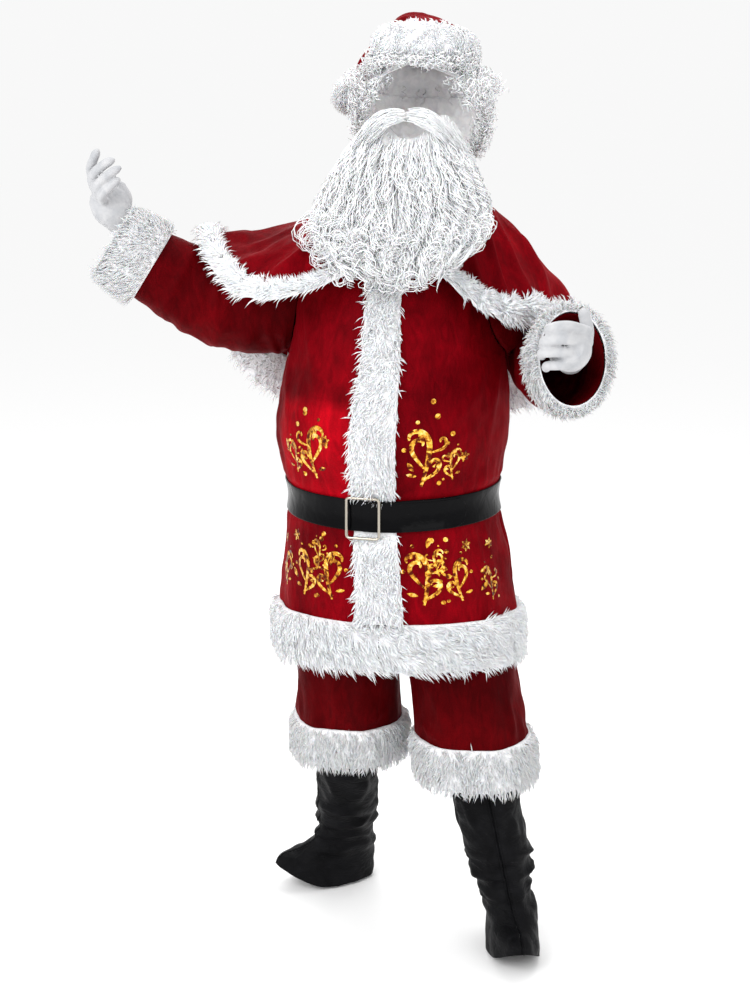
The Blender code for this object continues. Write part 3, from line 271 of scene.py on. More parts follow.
def folds(across, along, rows):
    """Soft ridges, or troughs where the height is below zero, on a flat map in metres.

    Each row is: from across, from along, to across, to along, bow, width, height. The tables of
    folds below give them in millimetres.
    """
    total = np.zeros(np.broadcast(across, along).shape)
    for from_x, from_y, to_x, to_y, bow, width, height in rows:
        run_x, run_y = to_x - from_x, to_y - from_y
        run = math.hypot(run_x, run_y)
        t = ((across - from_x) * run_x + (along - from_y) * run_y) / run**2
        t = np.clip(t, 0, 1)
        off = ((along - from_y) * run_x - (across - from_x) * run_y) / run - bow * 4 * t * (1 - t)
        total = total + height * np.exp(-((off / width) ** 2)) * np.sin(math.pi * t) ** 0.8
    return total


print("the two tools for folds are ready")

# %% [markdown]
# ## Turning grids of points into pieces
#
# Most pieces are a grid of points, row by row. A thin shell needs only its outer face and a narrow
# hem turned in at its free edges, which gives the edge its thickness without doubling every
# triangle. Every piece rides on the suit's one body, and stands for its solid in the model.

# %% Making pieces
triangles_made = {}


def grid_faces(rows, columns, ring=False):
    """Four-cornered faces between neighbouring points of a grid."""
    last = columns if ring else columns - 1
    row, column = np.meshgrid(np.arange(rows - 1), np.arange(last), indexing="ij")
    beside = (column + 1) % columns
    corners = (row * columns + column, row * columns + beside)
    above = ((row + 1) * columns + beside, (row + 1) * columns + column)
    return np.stack([*corners, *above], axis=-1).reshape(-1, 4)


def joined(parts):
    """One set of points and faces from several."""
    points, faces, start = [], [], 0
    for part_points, part_faces in parts:
        points.append(part_points)
        faces.append(part_faces + start)
        start += len(part_points)
    return np.concatenate(points), np.concatenate(faces)


def make_mesh(name, points, faces):
    """A mesh from points, and faces that all have the same number of corners."""
    mesh = bpy.data.meshes.new(name)
    mesh.vertices.add(len(points))
    mesh.vertices.foreach_set("co", np.asarray(points, np.float32).ravel())
    mesh.loops.add(faces.size)
    mesh.loops.foreach_set("vertex_index", np.asarray(faces, np.int32).ravel())
    mesh.polygons.add(len(faces))
    mesh.polygons.foreach_set("loop_start", np.arange(0, faces.size, faces.shape[1], dtype=np.int32))
    mesh.update(calc_edges=True)
    mesh.shade_smooth()
    return mesh


def place(name, mesh, finish, nodes=(), slot=None):
    """Puts a mesh into the scene as a piece that rides on the suit's body."""
    piece = bpy.data.objects.new(name, mesh)
    bpy.context.scene.collection.objects.link(piece)
    mesh.materials.clear()
    mesh.materials.append(FINISHES[finish])
    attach(piece, "root")
    if nodes:
        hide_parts(*nodes)
    triangles_made[name] = sum(len(face.vertices) - 2 for face in mesh.polygons)
    print(f"{name}: {triangles_made[name]} triangles")
    return piece


def piece_from(name, points, faces, finish, nodes=(), slot=None):
    """A piece from points whose heights are measured from the floor."""
    lowered = np.asarray(points).reshape(-1, 3) - np.array([0, 0, SHOULDER_HEIGHT])
    return place(name, make_mesh(name, lowered, faces), finish, nodes, slot)


print("faces between 3 by 3 points:", len(grid_faces(3, 3)))

# %% Thin shells with hems
def turned_in(grid, outward, thickness, ends, depth=3):
    """The grid with a hem turned in before its first row and after its last one, where ends says so."""
    inner = grid - outward * thickness
    parts, normals = [grid], [outward]
    if ends[0]:
        parts.insert(0, np.stack([inner[depth], inner[0]]))
        normals.insert(0, np.stack([outward[depth], outward[0]]))
    if ends[1]:
        parts.append(np.stack([inner[-1], inner[-1 - depth]]))
        normals.append(np.stack([outward[-1], outward[-1 - depth]]))
    return np.concatenate(parts), np.concatenate(normals)


def shell(name, grid, outward, finish, nodes, slot, ring=False, thickness=CLOTH, hems=(1, 1, 1, 1)):
    """A thin cloth shell with its hems: first row, last row, first column and last column."""
    grid, outward = turned_in(grid, outward, thickness, hems[:2])
    if not ring:
        grid, outward = np.swapaxes(grid, 0, 1), np.swapaxes(outward, 0, 1)
        grid, outward = turned_in(grid, outward, thickness, hems[2:])
        grid = np.swapaxes(grid, 0, 1)
    faces = grid_faces(*grid.shape[:2], ring)
    return piece_from(name, grid, faces, finish, nodes, slot)


def finer(grid, rows, columns, ring=False):
    """A grid read smoothly at more rows and columns."""
    count = grid.shape[1]
    width = grid.shape[2]
    at = np.linspace(0, len(grid) - 1, rows)
    down = smooth_curve(np.arange(len(grid)), grid.reshape(len(grid), -1), at)
    down = np.swapaxes(down.reshape(rows, count, width), 0, 1)
    keys = np.arange(count)
    at = np.linspace(0, count - 1, columns)
    if ring:
        down = np.concatenate([down[-3:], down, down[:4]])
        keys = np.arange(-3, count + 4)
        at = np.linspace(0, count, columns, endpoint=False)
    wide = smooth_curve(keys, down.reshape(len(down), -1), at)
    return np.swapaxes(wide.reshape(columns, rows, width), 0, 1)


print("pieces can be made")

# %% [markdown]
# ## Pile and hair
#
# Plush pile, curls and beard locks are all tapering locks of fibre. A particle system would need
# converting before it could ride with the suit, so the locks are made as meshes: each one follows
# a line of points and has three sides. All the locks of a piece are worked out together in numpy.

# %% Locks of fibre
def locks_mesh(spines, radii, seed, taper=0.75):
    """Points and triangles of tapering locks. Spines are locks by points, from root to tip."""
    count, steps = spines.shape[:2]
    rng = np.random.default_rng(seed)
    ahead = unit(np.gradient(spines, axis=1))
    aside = unit(np.cross(ahead, unit(rng.normal(size=(count, 1, 3)))))
    third = np.cross(ahead, aside)
    shares = np.linspace(0, 1, steps)[:-1]
    size = (radii[:, None] * (1 - taper * shares**1.5))[:, :, None, None]
    turns = np.radians([0, 120, 240])[:, None]
    around = aside[:, :-1, None] * np.cos(turns) + third[:, :-1, None] * np.sin(turns)
    rings = spines[:, :-1, None] + around * size
    points = np.concatenate([rings.reshape(count, -1, 3), spines[:, -1:]], axis=1)
    faces = []
    for step in range(steps - 2):
        for side in range(3):
            a, b = step * 3 + side, step * 3 + (side + 1) % 3
            faces += [(a, b, b + 3), (a, b + 3, a + 3)]
    tip = (steps - 1) * 3
    for side in range(3):
        faces.append((tip - 3 + side, tip - 3 + (side + 1) % 3, tip))
    each = np.array(faces)[None] + (np.arange(count) * (tip + 1))[:, None, None]
    return points.reshape(-1, 3), each.reshape(-1, 3)


def pile(name, roots, outward, nap, length, radius, nodes, seed, stand=0.45, clump=0.55, clump_size=0.02):
    """Plush pile: short locks that lie over in the nap's direction and cling together in tufts."""
    rng = np.random.default_rng(seed)
    drift = np.stack([unevenness(roots, clump_size, seed + k) for k in (1, 2, 3)], axis=-1)
    lean = nap + drift * clump + rng.normal(scale=0.16, size=roots.shape)
    lean = unit(lean - outward * np.sum(lean * outward, axis=-1, keepdims=True))
    reach = (length * rng.uniform(0.75, 1.2, len(roots)))[:, None]
    middle = roots + reach * (0.5 * lean + 0.65 * stand * outward)
    tip = roots + reach * (lean + stand * outward) - np.array([0, 0, 0.12]) * reach
    spines = np.stack([roots - outward * 0.002, middle, tip], axis=1)
    radii = radius * rng.uniform(0.7, 1.25, len(roots))
    points, faces = locks_mesh(spines, radii, seed)
    # Cuff pile takes a darker copy of the white pile: painted shade.
    look = "pile_painted_shade" if "cuff" in nodes[0] else "white_pile"
    return piece_from(name, points, faces, look, nodes, "white_plush")


print("one pile lock has 9 triangles")

# %% [markdown]
# ## The finishes
#
# Every finish is a Principled shader with procedural detail, so it needs no picture and looks right
# at any distance. The helpers below wire a noise texture into a colour ramp or into a bump. The
# noise reads the piece's own coordinates, which are metres, so a size of 0.004 means 4 mm.

# %% Helpers for finishes
def finish(name, colour, roughness, **settings):
    made = bpy.data.materials.new(name)
    made.use_nodes = True
    shader = made.node_tree.nodes["Principled BSDF"]
    shader.inputs["Base Color"].default_value = (*colour, 1.0)
    shader.inputs["Roughness"].default_value = roughness
    for key, value in settings.items():
        shader.inputs[key.replace("_", " ")].default_value = value
    return made, made.node_tree, shader


def noise(tree, size, detail=2.0, warp=0.0, stretch=(1, 1, 1)):
    """Noise whose features are about this many metres across, drawn out where stretch is below 1."""
    coordinates = tree.nodes.new("ShaderNodeTexCoord")
    mapping = tree.nodes.new("ShaderNodeMapping")
    mapping.inputs["Scale"].default_value = [share / size for share in stretch]
    texture = tree.nodes.new("ShaderNodeTexNoise")
    texture.inputs["Scale"].default_value = 1.0
    texture.inputs["Detail"].default_value = detail
    texture.inputs["Distortion"].default_value = warp
    tree.links.new(coordinates.outputs["Object"], mapping.inputs["Vector"])
    tree.links.new(mapping.outputs["Vector"], texture.inputs["Vector"])
    return texture.outputs["Fac"]


def ramp(tree, factor, *stops):
    """A colour ramp, from pairs of a place between 0 and 1 and a colour."""
    made = tree.nodes.new("ShaderNodeValToRGB")
    tree.links.new(factor, made.inputs["Fac"])
    points = made.color_ramp.elements
    while len(points) < len(stops):
        points.new(0.5)
    for point, (at, colour) in zip(points, stops):
        point.position = at
        point.color = (*colour, 1.0)
    return made.outputs["Color"]


def multiplied(tree, first, second):
    """Two colours multiplied, as one dye over another."""
    made = tree.nodes.new("ShaderNodeMix")
    made.data_type = "RGBA"
    made.blend_type = "MULTIPLY"
    made.inputs["Factor"].default_value = 1.0
    tree.links.new(first, made.inputs[6])
    tree.links.new(second, made.inputs[7])
    return made.outputs[2]


print("colour helpers ready")

# %% Helpers for relief and roughness
def relief(tree, shader, *layers):
    """Bumps one over the other, from pairs of a height texture and a depth in metres."""
    before = None
    for height, depth in layers:
        bump_node = tree.nodes.new("ShaderNodeBump")
        bump_node.inputs["Strength"].default_value = 1.0
        bump_node.inputs["Distance"].default_value = depth
        tree.links.new(height, bump_node.inputs["Height"])
        if before is not None:
            tree.links.new(before, bump_node.inputs["Normal"])
        before = bump_node.outputs["Normal"]
    tree.links.new(before, shader.inputs["Normal"])


def dyed(tree, shader, factor, *stops):
    """Colours the surface by a ramp."""
    tree.links.new(ramp(tree, factor, *stops), shader.inputs["Base Color"])


def roughened(tree, shader, factor, low, high):
    """Roughness between low and high, from a texture."""
    made = tree.nodes.new("ShaderNodeMapRange")
    made.inputs["To Min"].default_value = low
    made.inputs["To Max"].default_value = high
    tree.links.new(factor, made.inputs["Value"])
    tree.links.new(made.outputs["Result"], shader.inputs["Roughness"])


def scaled(colour, share):
    return tuple(part * share for part in colour)


print("relief helpers ready")

# %% [markdown]
# ## Velvet, plush and hair
#
# Costume velvet is a knit with a short shiny pile. Where the pile is brushed or crushed it turns
# from wine to scarlet, and its edges glow, which the shader's sheen gives. The white fibres are
# bright but never flat: they have grey hollows between the tufts and a soft gleam along each lock.

# %% Soft finishes
PRESSED_FROM = (-0.215, -0.60, -0.530)
PRESSED_TO = (-0.040, -0.12, -0.318)


def pressed_patch(tree):
    """Brighter where the press flattened the nap beside the front strip, on the wearer's right."""
    coordinates = tree.nodes.new("ShaderNodeTexCoord")
    parts = tree.nodes.new("ShaderNodeSeparateXYZ")
    tree.links.new(coordinates.outputs["Object"], parts.inputs["Vector"])
    mask = None
    for axis in range(3):
        for edge, soft in ((PRESSED_FROM[axis], 0.012), (PRESSED_TO[axis], -0.012)):
            side = tree.nodes.new("ShaderNodeMapRange")
            side.inputs["From Min"].default_value = edge - soft
            side.inputs["From Max"].default_value = edge + soft
            tree.links.new(parts.outputs[axis], side.inputs["Value"])
            if mask is None:
                mask = side.outputs["Result"]
                continue
            both = tree.nodes.new("ShaderNodeMath")
            both.operation = "MULTIPLY"
            tree.links.new(mask, both.inputs[0])
            tree.links.new(side.outputs["Result"], both.inputs[1])
            mask = both.outputs["Value"]
    return ramp(tree, mask, (0.0, (1.0, 1.0, 1.0)), (1.0, (2.1, 2.6, 1.9)))


def red_velvet(name="red_velvet", painted_shade_scale=1.0):
    made, tree, shader = finish(
        name, (0.20, 0.001, 0.005), 0.70,
        Sheen_Weight=0.16, Sheen_Roughness=0.35, Sheen_Tint=(1.0, 0.02, 0.04, 1.0), Specular_IOR_Level=0.02,
    )
    # A scale below 1 darkens the nap: painted shade, for the copies of this velvet on parts that get less
    # light.
    low, high = (0.098 * painted_shade_scale, 0.0002, 0.0022 * painted_shade_scale), (0.225 * painted_shade_scale, 0.0006, 0.0045 * painted_shade_scale)
    nap = ramp(tree, noise(tree, 0.16, 3.0, 0.8), (0.30, low), (0.72, high))
    crushed = ramp(
        tree, noise(tree, 0.022, 4.0, 1.6, (1, 1, 0.35)),
        (0.32, (0.74, 0.74, 0.74)), (0.52, (0.97, 0.97, 0.97)), (0.72, (1.22, 1.15, 1.15)),
    )
    grain = ramp(tree, noise(tree, 0.0016, 1.0), (0.3, (0.80, 0.80, 0.80)), (0.7, (1.12, 1.12, 1.12)))
    colour = multiplied(tree, multiplied(tree, nap, crushed), grain)
    colour = multiplied(tree, colour, pressed_patch(tree))
    tree.links.new(colour, shader.inputs["Base Color"])
    roughened(tree, shader, noise(tree, 0.05, 3.0, 1.0), 0.46, 0.74)
    relief(
        tree, shader,
        (noise(tree, 0.0012, 1.0), 0.0003),
        (noise(tree, 0.018, 3.0, 1.2, (1, 1, 0.4)), 0.0012),
        (noise(tree, 0.075, 2.0, 0.5, (1, 1, 0.5)), 0.0040),
    )
    return made


print("velvet written")

# %% White fibres
def white_pile(name="white_pile", painted_shade_factor=1.0):
    made, tree, shader = finish(
        name, (0.90, 0.90, 0.91), 0.70,
        Sheen_Weight=0.35, Sheen_Roughness=0.5, Specular_IOR_Level=0.25,
        Subsurface_Weight=0.12, Subsurface_Scale=0.01,
    )
    # A factor below 1 darkens the pile: painted shade, for a copy of this finish on parts that get less
    # light.
    low, high = scaled((0.84, 0.84, 0.86), painted_shade_factor), scaled((0.975, 0.975, 0.98), painted_shade_factor)
    dyed(tree, shader, noise(tree, 0.012, 3.0, 0.5), (0.3, low), (0.7, high))
    relief(tree, shader, (noise(tree, 0.0015, 2.0), 0.0004))
    return made


def plush_backing():
    made, tree, shader = finish("plush_backing", (0.82, 0.82, 0.84), 0.85, Sheen_Weight=0.3)
    dyed(tree, shader, noise(tree, 0.009, 4.0, 1.0), (0.3, (0.72, 0.72, 0.75)), (0.65, (0.93, 0.93, 0.94)))
    relief(
        tree, shader,
        (noise(tree, 0.002, 3.0, 0.0, (1, 1, 0.3)), 0.0012),
        (noise(tree, 0.010, 3.0, 1.0, (1, 1, 0.5)), 0.0040),
    )
    return made


def white_hair(name="white_hair", painted_shade_factor=1.0):
    made, tree, shader = finish(
        name, (0.86, 0.86, 0.88), 0.42,
        Specular_IOR_Level=0.5, Sheen_Weight=0.15, Subsurface_Weight=0.08, Subsurface_Scale=0.006,
    )
    # A factor below 1 darkens the hair: painted shade, for a copy of this finish under the locks.
    low, high = scaled((0.78, 0.78, 0.80), painted_shade_factor), scaled((0.975, 0.975, 0.98), painted_shade_factor)
    dyed(tree, shader, noise(tree, 0.016, 3.0, 0.6), (0.28, low), (0.6, high))
    relief(tree, shader, (noise(tree, 0.0012, 2.0, 0.0, (1, 1, 0.15)), 0.0005))
    return made


print("pile and hair written")

# %% [markdown]
# ## Vinyl, leatherette, knit, nickel and foil
#
# The belt is glossy vinyl with a faint orange-peel surface. The boot covers are a matter
# leatherette with a fine pebble grain. The gloves are a thin stretch knit with tiny ribs, the
# buckle is nickel-plated wire, and the prints are pressed gold foil that crinkles with the velvet.

# %% Hard and printed finishes
def black_vinyl():
    made, tree, shader = finish(
        "black_vinyl", (0.002, 0.002, 0.0025), 0.12,
        Specular_IOR_Level=0.05, Coat_Weight=0.03, Coat_Roughness=0.05,
    )
    roughened(tree, shader, noise(tree, 0.03, 4.0, 1.0), 0.07, 0.24)
    relief(
        tree, shader,
        (noise(tree, 0.0018, 1.0), 0.00005),
        (noise(tree, 0.035, 2.0, 0.4), 0.0018),
    )
    return made


def black_leatherette():
    made, tree, shader = finish("black_leatherette", (0.004, 0.004, 0.005), 0.52, Specular_IOR_Level=0.055)
    low, high = (0.002, 0.002, 0.0024), (0.006, 0.006, 0.007)
    dyed(tree, shader, noise(tree, 0.05, 3.0, 1.0), (0.3, low), (0.7, high))
    roughened(tree, shader, noise(tree, 0.02, 3.0), 0.38, 0.58)
    pebble = tree.nodes.new("ShaderNodeTexVoronoi")
    pebble.inputs["Scale"].default_value = 900.0
    coordinates = tree.nodes.new("ShaderNodeTexCoord")
    tree.links.new(coordinates.outputs["Object"], pebble.inputs["Vector"])
    relief(
        tree, shader,
        (pebble.outputs["Distance"], 0.00025),
        (noise(tree, 0.016, 3.0, 1.5, (0.6, 0.6, 1)), 0.0030),
    )
    return made


print("vinyl and leatherette written")

# %% Knit, nickel and foil
def white_knit():
    made, tree, shader = finish(
        "white_knit", (0.78, 0.78, 0.80), 0.78, Sheen_Weight=0.3, Specular_IOR_Level=0.3
    )
    # The ramp colours the knit mid grey, well below its own white: painted shade, spread evenly over the
    # whole glove.
    dyed(tree, shader, noise(tree, 0.02, 3.0, 0.5), (0.3, (0.40, 0.41, 0.43)), (0.7, (0.53, 0.53, 0.54)))
    coordinates = tree.nodes.new("ShaderNodeTexCoord")
    ribs = tree.nodes.new("ShaderNodeTexWave")
    ribs.bands_direction = "DIAGONAL"
    ribs.inputs["Scale"].default_value = 260.0
    ribs.inputs["Distortion"].default_value = 0.6
    tree.links.new(coordinates.outputs["Object"], ribs.inputs["Vector"])
    relief(tree, shader, (ribs.outputs["Fac"], 0.00018), (noise(tree, 0.010, 3.0, 1.0), 0.0012))
    return made


def nickel():
    made, tree, shader = finish("nickel", (0.44, 0.40, 0.34), 0.24, Metallic=1.0)
    roughened(tree, shader, noise(tree, 0.006, 4.0), 0.12, 0.36)
    relief(tree, shader, (noise(tree, 0.0012, 2.0, 0.0, (1, 1, 0.1)), 0.00004))
    return made


def gold_foil():
    made, tree, shader = finish("gold_foil", (0.86, 0.50, 0.10), 0.26, Metallic=1.0)
    dyed(
        tree, shader, noise(tree, 0.010, 2.0, 0.6),
        (0.38, (0.10, 0.012, 0.006)), (0.47, (0.46, 0.17, 0.02)),
        (0.56, (0.88, 0.46, 0.05)), (0.72, (1.0, 0.76, 0.28)),
    )
    roughened(tree, shader, noise(tree, 0.008, 3.0), 0.16, 0.42)
    relief(tree, shader, (noise(tree, 0.0025, 3.0), 0.0004), (noise(tree, 0.012, 2.0, 0.8), 0.0030))
    return made


print("knit, nickel and foil written")

# %% Make the finishes
MAKERS = (
    red_velvet, white_pile, plush_backing, white_hair, black_vinyl, black_leatherette, white_knit,
    nickel, gold_foil,
)
FINISHES = {maker.__name__: maker() for maker in MAKERS}
# Painted shade: the breeches get a darker copy of the same velvet, for the shade below the jacket.
FINISHES["breeches_velvet_painted_shade"] = red_velvet("breeches_velvet_painted_shade", 0.42)
# Painted shade: the sleeves get a darker copy of the same velvet, for the shade under the capelet.
FINISHES["sleeve_velvet_painted_shade"] = red_velvet("sleeve_velvet_painted_shade", 0.55)
# Painted shade: a darker copy of the white pile for the sleeve and breeches cuffs.
FINISHES["pile_painted_shade"] = white_pile("pile_painted_shade", 0.80)
# Painted shade: a darker copy of the hair for the beard's bib and the moustache's body, which show as grey
# gaps between the locks.
FINISHES["under_hair_painted_shade"] = white_hair("under_hair_painted_shade", 0.66)
print("finishes:", ", ".join(FINISHES))

# %% [markdown]
# ## The jacket's form
#
# The jacket is cut with a front on each side, a back, and two sleeves. Its form is a stack of
# sections: wide at the belly, drawn in by the belt, and fluted below it, where the spare width
# hangs in soft waves. The turn is the angle round the body, from the centre front towards the
# wearer's left.

# %% The jacket's sections
HEM_ROWS = (0.608, 0.655, 0.700)
BELT_ROWS = (0.895, 0.925, 0.955)
ARMHOLE_HEIGHT = 1.308
ARMHOLE_HALF_HEIGHT = 0.106
ARMHOLE_HALF_TURN = 27.0
SIDE_TURN = 90.0
SEAM_TURN = 0.05
PLACKET_TURNS = (5.5, 11.0)
HEM_RIDE = 0.028

TORSO = Table("height centre_x half_width front back", thousandths("""
570 6 229 223 191
600 6 228 222 190
700 5 226 220 186
800 1 216 219 176
875 -3 206 219 168
925 -5 200 217 163
975 -6 208 224 166
1050 -6 220 244 172
1130 -1 215 239 174
1210 4 202 218 168
1300 3 194 192 158
1370 8 187 165 146
1410 16 178 145 135
1440 25 158 122 122
1465 35 132 100 108
1490 38 92 82 92
"""))

SKIRT_FLUTES = thousandths("""
58 10 7
84 9 9
112 11 7
146 12 10
181 12 8
214 12 10
247 11 7
276 9 9
303 10 6
""", 2)


def skirt_flutes(turn, height):
    """How far the skirt's flutes stand out, growing from nothing at the belt to full depth at the hem."""
    turn = np.mod(turn, 360)
    depth = sum(high * bump(turn, at, wide) for at, wide, high in SKIRT_FLUTES)
    return depth * ease(BELT_ROWS[0], HEM_ROWS[0], height)


def jacket_surface(turn, height):
    """The jacket's outer face. The turn is in degrees from the centre front to the wearer's left."""
    angle = np.radians(turn)
    front, back = TORSO.read("front", height), TORSO.read("back", height)
    depth = np.where(np.cos(angle) > 0, front, back)
    flute = skirt_flutes(turn, height)
    x = TORSO.read("centre_x", height) + (TORSO.read("half_width", height) + flute) * np.sin(angle)
    y = -(depth + flute) * np.cos(angle)
    ride = HEM_RIDE * ((1 + np.cos(angle)) / 2) ** 2 * ease(BELT_ROWS[0], HEM_ROWS[0], height)
    return np.stack([x, y, np.broadcast_to(height, x.shape) + ride], axis=-1)


def armhole_turn(height):
    """How many degrees the armhole opens to each side of the side seam at a height."""
    share = np.clip((np.asarray(height, float) - ARMHOLE_HEIGHT) / ARMHOLE_HALF_HEIGHT, -1, 1)
    return ARMHOLE_HALF_TURN * np.sqrt(1 - share**2)


print("widest at the belly:", round(2 * float(TORSO.read("half_width", 1.05)), 3), "m")

# %% [markdown]
# ## Creases in the jacket
#
# Looking at the jacket from all round: the cloth is pulled smooth over the belly, gathers into
# short upright puckers just above and below the belt, and hangs in longer folds from the
# shoulders and the armpits. The map for these folds is unrolled: across is the turn times the
# body's mean radius, along is the height.

# %% Jacket creases
BODY_RADIUS = 0.205

CHEST_FOLDS = thousandths("""
190 1335 110 1150 12 12 4.5
230 1245 130 1085 18 11 4
270 1215 220 1020 -8 10 4.5
-190 1340 -100 1120 -12 12 4.2
-240 1250 -170 1060 -14 10 5
-290 1210 -250 1010 8 11 4.5
75 1360 85 1190 6 14 2.2
-85 1370 -70 1200 -6 14 2.4
400 1330 470 1060 14 16 5.5
520 1380 550 1120 -10 16 4.5
630 1400 640 1050 8 18 5
760 1380 730 1110 12 16 4.5
880 1330 810 1050 -14 16 5.5
420 1230 600 1190 20 14 -4
860 1225 700 1180 -20 14 -4
""")


print("folds placed on the jacket:", len(CHEST_FOLDS))

# %% Gathers at the belt
BELT_PUCKERS = 46


def belt_puckers(across, along):
    """Short upright gathers that fade away above and below the belt, uneven in place and length."""
    rng = np.random.default_rng(7)
    total = np.zeros(np.broadcast(across, along).shape)
    turn_length = 2 * math.pi * BODY_RADIUS
    for number in range(BELT_PUCKERS):
        at = (number + rng.uniform(-0.35, 0.35)) / BELT_PUCKERS * turn_length
        off = (across - at + turn_length / 2) % turn_length - turn_length / 2
        height = rng.uniform(0.0014, 0.0036)
        above, below = rng.uniform(0.035, 0.105), rng.uniform(0.05, 0.16)
        lean = rng.uniform(-0.10, 0.10) * (along - BELT_ROWS[1])
        ridge = np.exp(-(((off - lean) / rng.uniform(0.006, 0.010)) ** 2))
        fade = np.where(
            along > BELT_ROWS[1],
            np.exp(-((np.maximum(along - BELT_ROWS[2], 0) / above) ** 2)),
            np.exp(-((np.maximum(BELT_ROWS[0] - along, 0) / below) ** 2)),
        )
        total = total + ridge * fade * height
    return total


def jacket_creases(turn, height):
    turn = (np.asarray(turn, float) + 90) % 360 - 90
    across = np.radians(turn) * BODY_RADIUS
    round_back = np.where(across < -math.pi / 2 * BODY_RADIUS, across + 2 * math.pi * BODY_RADIUS, across)
    depth = folds(across, height, CHEST_FOLDS) + folds(round_back, height, CHEST_FOLDS) * (across < -0.31)
    depth = depth + belt_puckers(np.mod(across, 2 * math.pi * BODY_RADIUS), height)
    seam = np.minimum(np.abs(turn - SIDE_TURN), np.abs(turn + SIDE_TURN))
    seam = np.minimum(seam, np.abs(turn - 270))
    depth = depth - 0.0016 * np.exp(-((seam / 1.6) ** 2))
    under_belt = ease(0.0, 0.012, np.maximum(BELT_ROWS[0] - height, height - BELT_ROWS[-1]))
    under_placket = ease(8.0, 13.0, np.abs(turn))
    return depth * under_belt * under_placket


def jacket_cloth(turn, height):
    """The jacket's outer face with its creases and a slight unevenness."""
    turn, height = as_grids(turn, height)
    smooth = jacket_surface(turn, height)
    calm = ease(0.0, 0.02, np.maximum(BELT_ROWS[0] - height, height - BELT_ROWS[-1]))
    calm = calm * ease(8.0, 13.0, np.abs((turn + 180) % 360 - 180))
    uneven = unevenness(smooth, 0.11, 21) * 0.0016 + unevenness(smooth, 0.045, 22) * 0.0005
    return layer(jacket_surface, turn, height, jacket_creases(turn, height) + uneven * calm)


print("gathers at the belt:", BELT_PUCKERS)

# %% [markdown]
# ## Cutting the jacket's panels
#
# Each panel is a grid between the jacket's edges. Its rows are about 6 mm apart, which is close
# enough for the narrow gathers, and the last column follows the curve of the armhole.

# %% Jacket panels
JACKET_ROWS = 140
FRONT_COLUMNS = 46
BACK_COLUMNS = 90
COLLAR_HEIGHT = 1.484


def jacket_panel(name, side, columns):
    heights = np.linspace(HEM_ROWS[0], COLLAR_HEIGHT, JACKET_ROWS)
    rows = []
    for height in heights:
        if side == 0:
            edge = SIDE_TURN + SEAM_TURN + float(armhole_turn(height))
            rows.append(np.linspace(edge, 360 - edge, columns))
        else:
            edge = SIDE_TURN - SEAM_TURN - float(armhole_turn(height))
            rows.append(side * np.linspace(SEAM_TURN, edge, columns))
    across = np.stack(rows)
    along = np.broadcast_to(heights[:, None], across.shape)
    grid = jacket_cloth(across, along)
    outward = outwards(jacket_surface, across, along)
    return shell(name + "_velvet", grid, outward, "red_velvet", (name,), "red_velvet"), grid


front_left, front_left_grid = jacket_panel("jacket_front_left", 1, FRONT_COLUMNS)
front_right, front_right_grid = jacket_panel("jacket_front_right", -1, FRONT_COLUMNS)
jacket_back, back_grid = jacket_panel("jacket_back", 0, BACK_COLUMNS)

# %% [markdown]
# ## Plush bands
#
# The white trims are strips of long-pile plush sewn flat on the velvet. Each one is made as the
# real one is: a backing cloth, a little domed, and the pile that grows out of it. The roots are
# scattered evenly over the band, and the nap says which way the pile lies.

# %% Making a plush band
PILE_PER_METRE = 52000
PILE_RADIUS = 0.0015


def scatter(count, seed):
    """Places on a unit square, spread more evenly than chance would."""
    rng = np.random.default_rng(seed)
    rows = int(math.sqrt(count))
    columns = math.ceil(count / rows)
    row, column = np.meshgrid(np.arange(rows), np.arange(columns), indexing="ij")
    jitter = rng.uniform(-0.48, 0.48, (2, rows, columns))
    return ((row + 0.5 + jitter[0]) / rows).ravel(), ((column + 0.5 + jitter[1]) / columns).ravel()


def surface_point(grid, row_share, column_share):
    """Points on a grid, read straight between its corners."""
    rows, columns = grid.shape[:2]
    row = np.clip(row_share, 0, 1) * (rows - 1)
    column = np.clip(column_share, 0, 1) * (columns - 1)
    r, c = np.minimum(row.astype(int), rows - 2), np.minimum(column.astype(int), columns - 2)
    u, v = (row - r)[:, None], (column - c)[:, None]
    top = grid[r, c] * (1 - v) + grid[r, c + 1] * v
    return top * (1 - u) + (grid[r + 1, c] * (1 - v) + grid[r + 1, c + 1] * v) * u


def fluffed(grid, seed, depth=0.0022):
    """How far the backing stands out from place to place, where the pile is thicker."""
    return unevenness(grid, 0.022, seed) * depth + unevenness(grid, 0.011, seed + 50) * depth * 0.5


print("pile per square metre:", PILE_PER_METRE)

# %% Backing and pile together
def domed_backing(base, outward, edge, seed, press):
    """The backing's face, fuller along its middle than at its rim, and the same with its rims closed."""
    share = np.linspace(0, 1, len(base))
    dome = edge + (1 - edge) * np.sqrt(np.clip(1 - (2 * share - 1) ** 2, 0, 1))
    lift = (GAP + FUR_DEPTH * 0.62 * dome)[:, None] + fluffed(base, seed) * dome[:, None]
    domed = base + outward * (lift * press)[..., None]
    closing = base + outward * GAP
    return domed, np.concatenate([closing[:1], domed, closing[-1:]])


